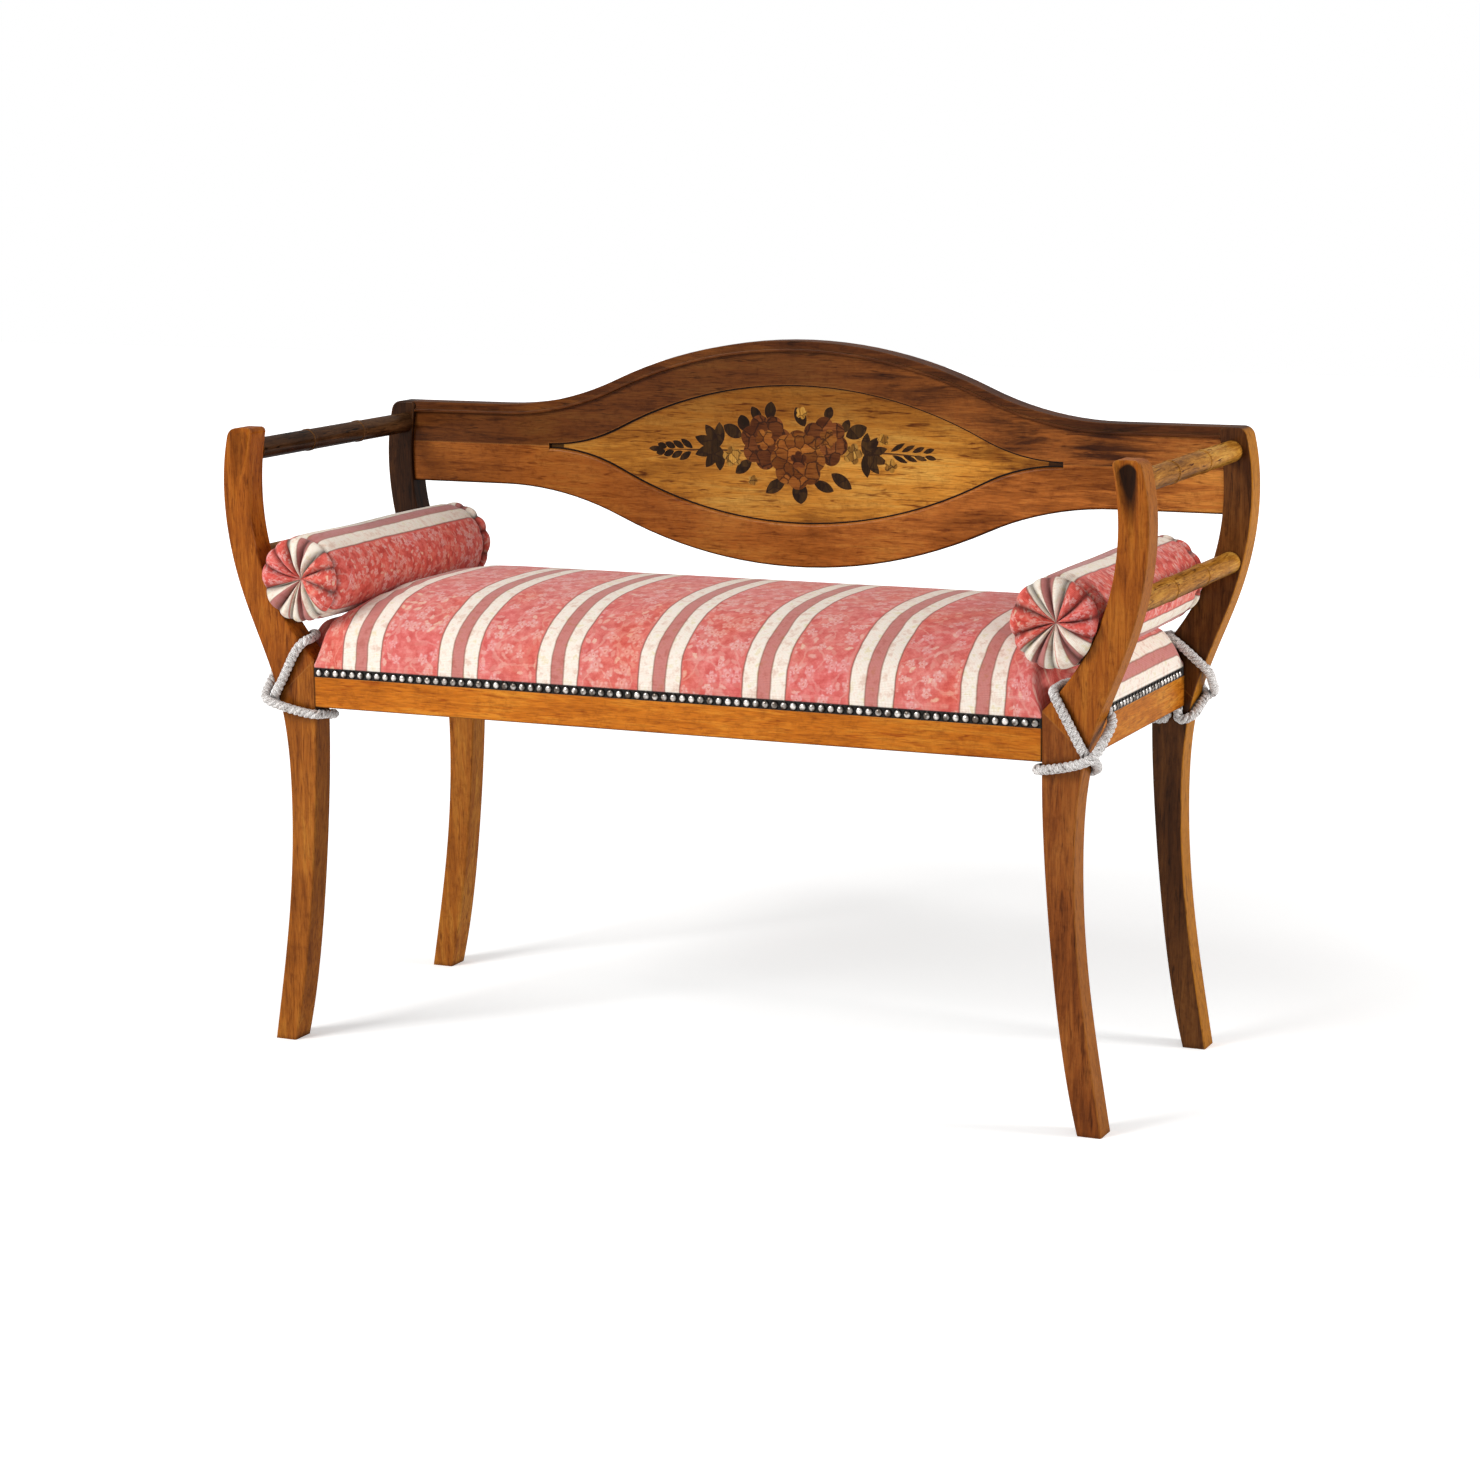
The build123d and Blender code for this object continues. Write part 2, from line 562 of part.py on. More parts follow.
route += [(top_out, lay_b, scarf_z - 10.0), (lay_cross + out_step, lay_f - out_step, shoulder_z)]
route += [(lay_in, lay_f, rail_z - 7.5), (lay_in, lay_b, low_z)]
route += [(end_in, lay_b, low_z), (end_in, lay_b, rail_z)]
bends = [7.0, 6.5, 7.0, 7.0, 7.0, 7.0, 18.0, 7.0, 7.0, 7.0]
rope_line = FilletPolyline(*route, radius=bends)
rope_wire = Wire(rope_line.edges())
start = Plane(origin=rope_wire @ 0, z_dir=rope_wire % 0)
rope = sweep(start * Circle(rope_r), path=rope_wire)
for name, sx, sy in corners:
    save("lashing_" + name, corner(rope, sx, sy))
samples = 700
spots = [rope_wire @ (i / samples) for i in range(samples + 1)]
span = rope_wire.length / samples
near = int(4.0 * rope_d / span)
least = min((spots[i] - spots[j]).length for i in range(samples) for j in range(i + near, samples + 1))
print("rope length", round(rope_wire.length, 1), "least gap to itself", round(least - rope_d, 2))

# Bolsters: turned body with a drawn-in ring and gathered ends, pressed in where the front posts hold it
bol_y0 = y_f - bol_front
bol_y1 = back_y0 - bol_gap
bol_mid = (bol_y0 + bol_y1) / 2
bol_half = (bol_y1 - bol_y0) / 2
bol_x = half_in + bol_reach - bol_r
hits = []
for i in range(-98, 99):
    dx = bol_r * i / 100.0
    top = seat_top + seat_rise(bol_x + dx, side_out, 0) if bol_x + dx < side_out else 0
    hits.append(top + math.sqrt((bol_r + rest_gap) ** 2 - dx * dx))
bol_z = max(hits)
bol_spot = Plane(origin=(bol_x, bol_mid, bol_z), x_dir=(0, 0, 1), z_dir=(1, 0, 0))


def turned(points_r, flat, swell):
    """Solid of revolution about the bolster axis from one half of its outline."""
    edges = []
    for s in (-1, 1):
        edges.append(Line((0, s * points_r[0][1]), (flat, s * points_r[0][1])))
        for a, m, b in points_r[1:]:
            edges.append(ThreePointArc((a[0], s * a[1]), (m[0], s * m[1]), (b[0], s * b[1])))
    last = points_r[-1][2]
    edges.append(ThreePointArc((last[0], -last[1]), (last[0] + swell, 0), (last[0], last[1])))
    edges.append(Line((0, -points_r[0][1]), (0, points_r[0][1])))
    face = bol_spot * make_face(edges)
    return revolve(face, axis=Axis((bol_x, bol_mid, bol_z), (0, 1, 0)))


def post_room(ease):
    """Front post with an ease all round, the space a bolster keeps out of."""
    pts = [arm_tip, arm_belly, arm_bend, arm_low, Vector(half_in, scarf_z)]
    line = Spline(*[p - Vector(ease, 0) for p in pts])
    far = half_in + 2 * arm_flare
    edges = [line, Line(line @ 0, (far, arm_top)), Line((far, arm_top), (far, scarf_z))]
    edges.append(Line((far, scarf_z), line @ 1))
    return prism(make_face(edges), y_f - ease, y_leg + ease)


h = bol_half
seat_r = 8.0
puff = ((seat_r, h - 7.0), (0.58 * bol_r, h), (bol_r - 2.0, h - 14.0))
ring = ((bol_r - 2.0, h - 14.0), (bol_r - 4.5, h - 18.0), (bol_r - 1.0, h - 22.0))
fill_end = ((0.53 * bol_r, h - 10.0), (0.78 * bol_r, h - 14.5), (bol_r - 6.0, h - 27.0))
bolster = turned([(0, h - 7.0), puff, ring], seat_r, 1.0) - post_room(press_gap)
bolster_fill = turned([(0, h - 10.0), fill_end], 0.53 * bol_r, 3.5) - post_room(press_gap + sew_t)
bolster_cover = bolster - bolster_fill
for side, sx in (("right", 1), ("left", -1)):
    save("bolster_" + side + "_fill", corner(bolster_fill, sx, 1))
    save("bolster_" + side + "_cover", corner(bolster_cover, sx, 1))
print("bolster axis", round(bol_x, 1), round(bol_z, 1), "length", round(2 * bol_half, 1))
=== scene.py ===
# %% [markdown]
# # A small settee with lashed arms and an inlaid back
# The bare frame was drawn in CAD and comes in as it is, in metres: X runs along the seat,
# the front faces -Y and Z rises from the floor. This lesson dresses it: varnished woods,
# inlaid veneers, nails, rope lashings, a striped damask seat and two loose bolsters.

# %% Load the frame
from functools import partial
import bpy
import numpy as np
from mathutils import Matrix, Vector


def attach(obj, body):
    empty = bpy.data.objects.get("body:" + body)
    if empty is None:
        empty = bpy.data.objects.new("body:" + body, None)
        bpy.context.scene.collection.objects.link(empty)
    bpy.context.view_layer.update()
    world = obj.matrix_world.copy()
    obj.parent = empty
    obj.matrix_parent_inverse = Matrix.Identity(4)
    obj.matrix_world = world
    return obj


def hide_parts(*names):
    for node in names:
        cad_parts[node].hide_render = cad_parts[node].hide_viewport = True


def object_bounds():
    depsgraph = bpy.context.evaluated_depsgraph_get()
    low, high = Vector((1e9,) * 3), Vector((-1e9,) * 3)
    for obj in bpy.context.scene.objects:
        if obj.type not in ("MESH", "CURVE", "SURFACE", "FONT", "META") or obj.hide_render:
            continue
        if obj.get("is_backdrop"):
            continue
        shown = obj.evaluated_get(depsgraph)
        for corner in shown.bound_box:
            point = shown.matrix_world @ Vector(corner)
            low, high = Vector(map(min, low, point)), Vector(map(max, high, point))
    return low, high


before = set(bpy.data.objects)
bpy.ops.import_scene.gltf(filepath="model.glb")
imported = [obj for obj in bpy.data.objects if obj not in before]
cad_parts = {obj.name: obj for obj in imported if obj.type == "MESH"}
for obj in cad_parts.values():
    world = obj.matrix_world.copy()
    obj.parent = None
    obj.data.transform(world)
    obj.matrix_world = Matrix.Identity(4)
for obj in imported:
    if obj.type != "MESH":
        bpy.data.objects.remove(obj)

scene = bpy.context.scene
cad_box = [list(map(float, corner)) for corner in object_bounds()]
print("CAD box", cad_box)

# %% [markdown]
# A few small helpers serve every step. Colours are written as screen hex values, which one
# function turns to linear light. One function adds a node with its settings and links, and comes
# bound to its material as add. One function turns whole numpy arrays into a mesh, so no vertex is
# ever visited by a loop.

# %% Colour, node and mesh helpers
MM = 0.001
# A MapRange node takes a value, the range it comes from and the range it goes to
TINT = {"data_type": "RGBA"}  # a Mix node that lays the colour on socket 7 over that on socket 6
GLAZE = {"data_type": "RGBA", "blend_type": "MULTIPLY"}  # one that multiplies them


def linear(code):
    """Screen hex to linear light: c / 12.92 in the toe, ((c + 0.055) / 1.055) to the 2.4 above it."""
    c = np.array([int(code[i:i + 2], 16) for i in (1, 3, 5)]) / 255
    lin = np.where(c <= 0.04045, c / 12.92, ((c + 0.055) / 1.055) ** 2.4)
    return (*lin.tolist(), 1.0)


def node(tree, kind, ins=(), stops=None, **settings):
    """Add a node, return its outputs: settings are its properties, stops the colours of a ramp.

    ins are its sockets, a list in their order or a dict by name or number."""
    n = tree.nodes.new("ShaderNode" + kind)
    for key, value in settings.items():
        setattr(n, key, value)
    for key, value in ins.items() if isinstance(ins, dict) else enumerate(ins):
        if isinstance(value, bpy.types.NodeSocket):
            tree.links.new(value, n.inputs[key])
        else:
            n.inputs[key].default_value = value
    if stops:
        ramp = n.color_ramp.elements
        ramp[0].position, ramp[0].color = stops[0][0], linear(stops[0][1])
        ramp[1].position, ramp[1].color = stops[-1][0], linear(stops[-1][1])
        for at, code in stops[1:-1]:
            ramp.new(at).color = linear(code)
    return n.outputs


def new_finish(name, sockets):
    """A material with these constant sockets set; returns it, what adds its nodes, and its shader."""
    m = bpy.data.materials.new(name)
    m.use_nodes = True
    shader = m.node_tree.nodes["Principled BSDF"]
    for key, value in sockets.items():
        shader.inputs[key].default_value = value
    return m, partial(node, m.node_tree), shader


def wire(shader, sockets):
    """Link sockets of a shader to what the nodes have worked out."""
    for key, value in sockets.items():
        shader.id_data.links.new(value, shader.inputs[key])


def painted_corner_shade(add, reach_mm, start, end, most):
    """Share of painted shade in corners, by how much is open within reach: none at start, most at end."""
    sky = add("AmbientOcclusion", {"Distance": reach_mm * MM}, samples=6)["AO"]
    return add("MapRange", [sky, start, end, 0, most])[0]


def crossed(add, place, scale, uneven):
    """Plain weave: the product of two sets of waves, along X and along Y, 0.314 / scale apart."""
    warp, weft = [add("TexWave", {"Vector": place, "Scale": scale, "Distortion": uneven},
                      bands_direction=way)["Fac"] for way in "XY"]
    return add("Math", [warp, weft], operation="MULTIPLY")[0]


def quads(rows, cols, round_cols=False):
    """Four corners per cell of a rows by cols grid; round joins the last column to the first."""
    r = cols * np.arange(rows - 1)[:, None]
    c = np.arange(cols if round_cols else cols - 1)[None, :]
    c2 = (c + 1) % cols
    return np.stack([r + c, r + c2, r + cols + c2, r + cols + c], -1).reshape(-1, 4)


def notched(points, rows, cols, cut_x, cut_y):
    """Faces of a grid of points less its four corners, the cells beyond both cuts."""
    faces = quads(rows, cols)
    middle = np.abs(points[faces].mean(1))
    return faces[~((middle[:, 0] > cut_x) & (middle[:, 1] > cut_y))]


def unit(v):
    """Vectors along the last axis, each divided by its length."""
    return v / np.linalg.norm(v, axis=-1, keepdims=True)


def distance(points):
    """Distance run along a line of points, from its first."""
    return np.r_[0, np.cumsum(np.linalg.norm(np.diff(points, axis=0), axis=1))]


def put(name, data):
    """A new object in the scene."""
    thing = bpy.data.objects.new(name, data)
    scene.collection.objects.link(thing)
    return thing


def add_piece(name, points, faces, finish, body, cloth=None):
    """Mesh from points in mm and faces; cloth is a vector per point that the weave follows, in mm."""
    mesh = bpy.data.meshes.new(name)
    mesh.from_pydata((points * MM).tolist(), [], faces if isinstance(faces, list) else faces.tolist())
    if cloth is not None:
        threads = mesh.attributes.new("cloth", "FLOAT_VECTOR", "POINT")
        threads.data.foreach_set("vector", cloth.ravel())
    mesh.polygons.foreach_set("use_smooth", np.ones(len(mesh.polygons), bool))
    mesh.materials.append(finish)
    piece = put(name, mesh)
    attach(piece, body)
    print(name, len(points), "points", len(mesh.polygons), "faces")
    return piece


def thicken(piece, name, thick_mm):
    """Give a cloth its thickness, which grows inwards."""
    layer = piece.modifiers.new(name, "SOLIDIFY")
    layer.thickness, layer.offset = thick_mm * MM, -1.0


def dress(finish, *names):
    """Give CAD nodes a finish in place of their plain one."""
    for name in names:
        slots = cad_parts[name].data.materials
        slots.clear()
        slots.append(finish)
    print(finish.name, "on", len(names), "CAD nodes")


# %% [markdown]
# The camera stands where the photograph was taken from. It could be set by eye, but a fit to the
# feet, the rails and the ends of the back brings every corner to its place. The lens is a mild
# telephoto.

# %% Camera
CAMERA_TURN = (24.84, 10.73, -0.59)  # degrees to the left, down and about the line of sight
CAMERA_PLACE = (1.538, -3.317, 1.034)
LENS_MM, FILM_MM = 82.41, 36.0
yaw, pitch, roll = np.radians(CAMERA_TURN)
ahead = np.array([-np.sin(yaw) * np.cos(pitch), np.cos(yaw) * np.cos(pitch), -np.sin(pitch)])
level = np.array([np.cos(yaw), np.sin(yaw), 0.0])
above = np.cross(level, ahead)
stand = np.eye(4)
stand[:3, 0] = np.cos(roll) * level + np.sin(roll) * above
stand[:3, 1] = -np.sin(roll) * level + np.cos(roll) * above
stand[:3, 2] = -ahead
stand[:3, 3] = CAMERA_PLACE
lens = bpy.data.cameras.new("camera")
lens.lens, lens.sensor_width = LENS_MM, FILM_MM
scene.camera = put("camera", lens)
scene.camera.matrix_world = Matrix(stand.tolist())
print("camera at", stand[:3, 3], "lens", lens.lens)

# %% [markdown]
# A pale studio. One large soft lamp stands high at the front left, a smaller one low at the right,
# so that the fronts are bright, the right-hand sides glow and the legs under the seat fall into
# shade. More light could make the floor white, but would wash out the wood. So the floor and the
# surround look white to the eye and in reflections: both add light only for rays that are seen,
# the floor keeps its shadow, and nothing more falls on the wood.

# %% Floor, surround and lamps
FLOOR_HALF = 9000.0  # mm
LAMPS = (("lamp_left", (-1.9, -2.9, 2.7), 1.5, 117), ("lamp_right", (3.0, 0.45, 1.4), 0.9, 46))
LAMP_AIM = (0, 0, 0.45)
scene.view_settings.view_transform = "Standard"


def seen_rays(add):
    """1 for rays of the eye, of a reflection or through glass, 0 for rays that only carry light."""
    rays = add("LightPath")
    seen = rays["Is Camera Ray"]
    for kind in ("Is Glossy Ray", "Is Transmission Ray"):
        seen = add("Math", [seen, rays[kind]], operation="MAXIMUM")[0]
    return seen


# Matt paint scatters light evenly: a soft white with no gloss and clouds 400 mm wide
floor_paint, add, shader = new_finish("matt white floor paint", {"Roughness": 0.9, "Emission Color": (1, 1,
                                                                                                      1, 1)})
place = add("TexCoord")["Object"]
speck = add("TexNoise", {"Vector": place, "Scale": 1 / 0.4, "Detail": 2.0})
tone = add("ValToRGB", [speck["Fac"]], [(0.3, "#F7F6F5"), (0.7, "#FDFDFC")])
far = add("VectorMath", [place], operation="LENGTH")["Value"]
lift = add("MapRange", [far, 0.7, 3.5, 0.32, 0.95])[0]
lift = add("Math", [lift, seen_rays(add)], operation="MULTIPLY")[0]
wire(shader, {"Base Color": tone["Color"], "Emission Strength": lift})
span = FLOOR_HALF * np.array([[-1, -1, 0], [1, -1, 0], [1, 1, 0], [-1, 1, 0]])
floor_mesh = bpy.data.meshes.new("floor")
floor_mesh.from_pydata((span * MM).tolist(), [], [[0, 1, 2, 3]])
floor_mesh.materials.append(floor_paint)
floor = put("floor", floor_mesh)
floor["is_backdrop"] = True

world = bpy.data.worlds.new("studio")
scene.world = world
world.use_nodes = True
add = partial(node, world.node_tree)
glow = add("MapRange", [seen_rays(add), 0, 1, 0.40, 1.0])
surround = world.node_tree.nodes["Background"]
surround.inputs["Color"].default_value = (1, 1, 1, 1)
wire(surround, {"Strength": glow["Result"]})

for name, place, size, watts in LAMPS:
    light = bpy.data.lights.new(name, "AREA")
    light.size, light.energy = size, watts
    away = unit(np.array(place) - LAMP_AIM)
    side = unit(np.cross((0, 0, 1), away))
    turn = np.eye(4)
    turn[:3, 0], turn[:3, 1], turn[:3, 2], turn[:3, 3] = side, np.cross(away, side), away, place
    put(name, light).matrix_world = Matrix(turn.tolist())
print("lamps and floor ready")

# %% [markdown]
# The frame is a warm fruitwood, stained, polished and old. Long streaks run with the grain of each
# piece, thin dark veins and pores break them up, and a slow change of tone keeps two rails from
# looking cut from one board. Edges are paler, partly worn polish and partly painted highlight, and
# corners darker, partly dark wax and partly painted shade, which an ambient occlusion node finds.
# Outer sides carry painted light, and some pieces carry painted shade: underneath, in ramps along an
# axis, and as darker copies of the wood. Image textures would tie the wood to a picture, so noise
# that is squeezed along the grain draws it at the real size of the streaks.

# %% Varnished woods
SQUEEZE = 0.09  # streaks are eleven times as long as they are wide
SLOW_MM, VEIN_MM, CLOUD_MM, NOOK_MM = 140.0, 3.2, 11.0, 11.0
PORE_MM = 1.3  # real pores are about 0.2 mm, so they are drawn this coarse to show


def varnished(name, along, dark, mid, light, streak_mm=10.0, seed=0.0, veins=0.55, rub="#B0763A",
              wax_and_shade="#1C0C04", petals=0.0, fade=None, under=0.0, joint=0.0, deepen=()):
    """Wood: streaks and veins stretched along one axis, a slow tone, paler edges and darker corners.

    fade tints faces that look outwards along X as painted light, under darkens those
    that look down as painted shade, petals is the size in mm of an inlay's cut cells, joint is the
    |x| beyond which the wood is dark with old polish at a joint, and deepen lists an
    axis, the places along it between which the wood gets darker as painted shade, and by how much.
    The edges are paler partly as wear and partly as painted highlight, and the corners darker partly
    as dark polish and partly as painted shade."""
    # Varnish over dark wood: a thin soft gloss on top and a deep colour that no glare washes out
    m, add, shader = new_finish(name, {"Coat Weight": 0.14, "Coat Roughness": 0.25,
                                       "Specular IOR Level": 0.0})
    place = add("TexCoord")["Object"]
    where = add("SeparateXYZ", [place])
    flat = add("NewGeometry")["Normal"]
    looks = add("SeparateXYZ", [flat])
    squeeze = np.ones(3)
    squeeze["XYZ".index(along)] = SQUEEZE
    grain = add("Mapping", {"Vector": place, "Location": (seed, seed * 0.7, seed * 1.3), "Scale": squeeze})[0]

    # Streaks and slow tone, then painted shade in ramps along an axis and painted light on outer sides
    streak = add("TexNoise", {"Vector": grain, "Scale": 1 / (streak_mm * MM), "Detail": 7.0,
                              "Roughness": 0.7, "Distortion": 0.8})["Fac"]
    slow = add("TexNoise", {"Vector": place, "Scale": 1 / (SLOW_MM * MM), "Detail": 2.0})["Fac"]
    blend = add("Mix", {0: 0.42, 2: streak, 3: slow})[0]
    hue = add("ValToRGB", [blend], [(0.36, dark), (0.5, mid), (0.64, light)])["Color"]
    # painted shade: darker between two places along an axis
    for axis, start, end, amount in deepen:
        shade_amount = add("MapRange", [where[axis], start, end, 0, amount])[0]
        hue = add("Mix", {0: shade_amount, 6: hue, 7: linear(dark)}, **TINT)[2]
    # painted light: faces that look outwards along X are tinted paler
    if fade:
        outer = add("Math", [looks["X"], where["X"]], operation="MULTIPLY")[0]
        outer = add("MapRange", [outer, 0.18, 0.36, 0, 0.7])[0]
        hue = add("Mix", {0: outer, 6: hue, 7: linear(fade)}, **TINT)[2]

    # Veins, pores and clouds darken what is there
    vein = add("TexNoise", {"Vector": grain, "Scale": 1 / (VEIN_MM * MM), "Detail": 2.0,
                            "Distortion": 1.0})["Fac"]
    vein = add("MapRange", [vein, 0.58, 0.70, 0, veins])[0]
    pore = add("TexNoise", {"Vector": grain, "Scale": 1 / (PORE_MM * MM), "Detail": 3.0})["Fac"]
    fine = add("ValToRGB", [pore], [(0.35, "#A08C80"), (0.55, "#FFFFFF")])["Color"]
    cloud = add("TexNoise", {"Vector": place, "Scale": 1 / (CLOUD_MM * MM), "Detail": 6.0,
                             "Roughness": 0.75})["Fac"]
    cloud = add("ValToRGB", [cloud], [(0.34, "#B49C8C"), (0.5, "#FFFFFF"), (0.66, "#FFF0D8")])["Color"]
    for share, layer in ((vein, linear(dark)), (0.4, fine), (0.42, cloud)):
        hue = add("Mix", {0: share, 6: hue, 7: layer}, **GLAZE)[2]

    coats = []  # masks and the colours they lay on, in this order
    if petals:
        shift = add("TexNoise", {"Vector": place, "Scale": 1 / (0.5 * petals * MM)})["Color"]
        bent = add("VectorMath", [shift, (0.35 * petals * MM,) * 3, place], operation="MULTIPLY_ADD")[0]
        cells = {"Vector": bent, "Scale": 1 / (petals * MM)}
        tint = add("TexVoronoi", cells)["Color"]
        tint = add("SeparateColor", [tint])[0]
        tint = add("ValToRGB", [tint], [(0.1, "#8A7A70"), (0.9, "#FFFFFF")])["Color"]
        hue = add("Mix", {0: 0.8, 6: hue, 7: tint}, **GLAZE)[2]
        cut = add("TexVoronoi", cells, feature="DISTANCE_TO_EDGE")["Distance"]
        cut = add("MapRange", [cut, 0.07, 0.02, 0, 0.8])[0]
        coats.append((cut, "#24120A"))
    # paler edges, partly worn polish and partly painted highlight
    rounder = add("Bevel", {"Radius": 2.0 * MM}, samples=4)[0]
    turn = add("VectorMath", [rounder, flat], operation="DOT_PRODUCT")["Value"]
    worn = add("MapRange", [turn, 0.99, 0.85, 0, 0.4])[0]
    coats.append((worn, rub))
    # painted shade: faces that look down are darkened
    if under:
        below = add("MapRange", [looks["Z"], -0.15, -0.6, 0, under])[0]
        coats.append((below, wax_and_shade))
    if joint:
        far = add("Math", [where["X"]], operation="ABSOLUTE")[0]
        seam = add("MapRange", [far, joint - 1.6 * MM, joint - 0.4 * MM, 0, 0.85])[0]
        coats.append((seam, wax_and_shade))
    # darker corners, partly dark wax and partly painted shade
    coats.append((painted_corner_shade(add, NOOK_MM, 0.72, 0.30, 0.85), wax_and_shade))
    for mask, colour in coats:
        hue = add("Mix", {0: mask, 6: hue, 7: linear(colour)}, **TINT)[2]

    rough = add("MapRange", [pore, 0, 1, 0.32, 0.5])[0]
    relief = add("Bump", {"Height": pore, "Strength": 0.12, "Distance": 0.3 * MM})[0]
    wire(shader, {"Base Color": hue, "Roughness": rough, "Normal": relief})
    return m


GOLD, TAN = "#C27D20", "#9D5F20"  # outer sides, tinted paler as painted light
for nodes, name, along, *colours, more in (
        # Walnut: brown, with a red glow where the varnish is thick; the front right leg, the rear right leg
        # and the rear posts are darker copies, as painted shade
        (["leg_front_left", "leg_rear_left"], "varnished walnut, upright grain", "Z",
         "#7C4214", "#A25E20", "#BC7C30", dict(seed=0.2, fade=GOLD)),
        (["leg_front_right"], "brown varnished walnut, front right leg", "Z",
         "#5A2C10", "#86481C", "#A0602A", dict(seed=0.3, fade=TAN)),
        (["leg_rear_right", "arm_rear_right"], "dark varnished walnut, rear right post", "Z",
         "#341A0A", "#5A3418", "#784A22", dict(seed=0.5, fade=GOLD)),
        (["arm_rear_left"], "nearly black varnished walnut, rear left post", "Z",
         "#1C0E06", "#382010", "#54341A", dict(seed=0.7, fade="#83582B")),
        # Cherry: orange and even, so the rails are the brightest wood
        (["seat_rail_front", "seat_rail_rear"], "varnished cherry, long grain", "X",
         "#A85A12", "#CA741E", "#E09432",
         # painted shade: darker underneath and towards the right end
         dict(seed=1.7, veins=0.5, under=0.6, joint=0.4215, deepen=[("X", 0.1, 0.42, 0.45)])),
        (["seat_rail_left", "seat_rail_right"], "varnished cherry, grain front to back", "Y",
         # painted shade: darker underneath
         "#945010", "#B86C1C", "#CE8A30", dict(seed=3.1, veins=0.5, under=0.6)),
        # Turned rods: strong dark veins, as the lathe cuts across the grain
        (["arm_rod_upper_right", "arm_rod_lower_right", "arm_rod_lower_left"], "turned cherry rod", "Y",
         # painted shade: darker underneath
         "#6A3E12", "#AE742A", "#CC9842", dict(streak_mm=6.0, seed=4.4, veins=0.95, under=0.5)),
        # the upper left rod is a darker copy, as painted shade, and darker underneath
        (["arm_rod_upper_left"], "turned rod, dark stain", "Y",
         "#24160C", "#4A301C", "#6E4C2E", dict(streak_mm=6.0, seed=4.9, veins=0.95, under=0.7)),
        # The back: dark above, warm below, both paler towards the right end as painted light, and the lower
        # one darker underneath as painted shade
        (["back_rail_top"], "dark varnished walnut, upper back", "X",
         "#44220E", "#A8642C", "#C4843E", dict(streak_mm=11.0, seed=6.2, deepen=[("X", 0.36, 0.0, 0.78)])),
        (["back_rail_bottom"], "varnished walnut, lower back", "X",
         "#7E4416", "#C07432", "#DC9644",
         dict(streak_mm=11.0, seed=7.4, under=0.85, deepen=[("X", 0.3, -0.2, 0.6)])),
        (["back_cap_moulding"], "dark moulded cap", "X",
         "#2E1608", "#5A3014", "#7C4A20", dict(seed=7.9, rub="#7A5230")),
        # Beech: pale and plain, as nobody sees it
        (["corner_braces", "arm_scarf_dowels", "back_dowels"], "plain beech inside the seat", "Z",
         "#A5835B", "#BD9A6E", "#CDB088", dict(seed=9.0))):
    dress(varnished(name, along, *colours, **more), *nodes)

# %% [markdown]
# The two front posts end in a carved spoon hollow. Painted shade lies in the right one, darkest at
# the top, and only faintly in the left one. A painted mask could mark it, but the hollow is the only
# place where the front of a post steps back. So the painted shade is laid by depth behind the front
# face, on what looks forwards, within 12 mm of the line along which the hollow was cut, and below
# an arch at its end.

# %% Hollows of the front posts
LINE_Z, LINE_X = (0.6055, 0.6855), (0.514, 0.5058)  # two places on the hollow's line, in metres
BESIDE, BEHIND = (0.0135, 0.0115), (-0.1920, -0.1892)  # where the painted shade starts and is full: |x| off the line, y
ARCH_Z, ARCH_BEND = (0.6835, 0.6805), 75.0


def hollowed(name, seed, depth):
    """Post wood with painted shade where y lies behind the front face and x near the hollow's line, by depth.

    The arch is the height z + 75 d^2, with d the distance from the line in metres."""
    m = varnished(name, "Z", "#74380E", "#9E561A", "#BA7228", seed=seed, fade=TAN)
    add, shader = partial(node, m.node_tree), m.node_tree.nodes["Principled BSDF"]
    spot = add("SeparateXYZ", [add("TexCoord")["Object"]])
    front = add("SeparateXYZ", [add("NewGeometry")["Normal"]])["Y"]
    front = add("MapRange", [front, -0.35, -0.6])[0]
    across = add("Math", [spot["X"]], operation="ABSOLUTE")[0]
    middle = add("MapRange", [spot["Z"], *LINE_Z, *LINE_X])[0]
    across = add("Math", [across, middle], operation="SUBTRACT")[0]
    across = add("Math", [across], operation="ABSOLUTE")[0]
    within = add("MapRange", [across, *BESIDE])[0]
    arch = add("Math", [across, across], operation="MULTIPLY")[0]
    arch = add("Math", [arch, ARCH_BEND, spot["Z"]], operation="MULTIPLY_ADD")[0]
    arch = add("MapRange", [arch, *ARCH_Z])[0]
    # painted shade in the hollow, by depth behind the front face
    hollow_shade = add("MapRange", [spot["Y"], *BEHIND, 0, depth])[0]
    for mask in (within, front, arch):
        hollow_shade = add("Math", [hollow_shade, mask], operation="MULTIPLY")[0]
    bare = shader.inputs["Base Color"].links[0].from_socket
    hollow_shaded_hue = add("Mix", {0: hollow_shade, 6: bare, 7: linear("#120804")}, **TINT)[2]
    wire(shader, {"Base Color": hollow_shaded_hue})
    return m


dress(hollowed("varnished walnut, right hollowed post", 0.9, 0.96), "arm_front_right")
dress(hollowed("varnished walnut, left hollowed post", 1.3, 0.3), "arm_front_left")

# %% [markdown]
# The almond panel in the back is a golden figured veneer with a spray of flowers let into it in
# other veneers, and a dark line round it. Each inlay is its own CAD solid, so it only needs its
# wood. Marquetry petals are cut one by one and shaded in hot sand, so each veneer is divided into
# cells of the size of a petal, with its own tone each and a fine dark saw line between them.

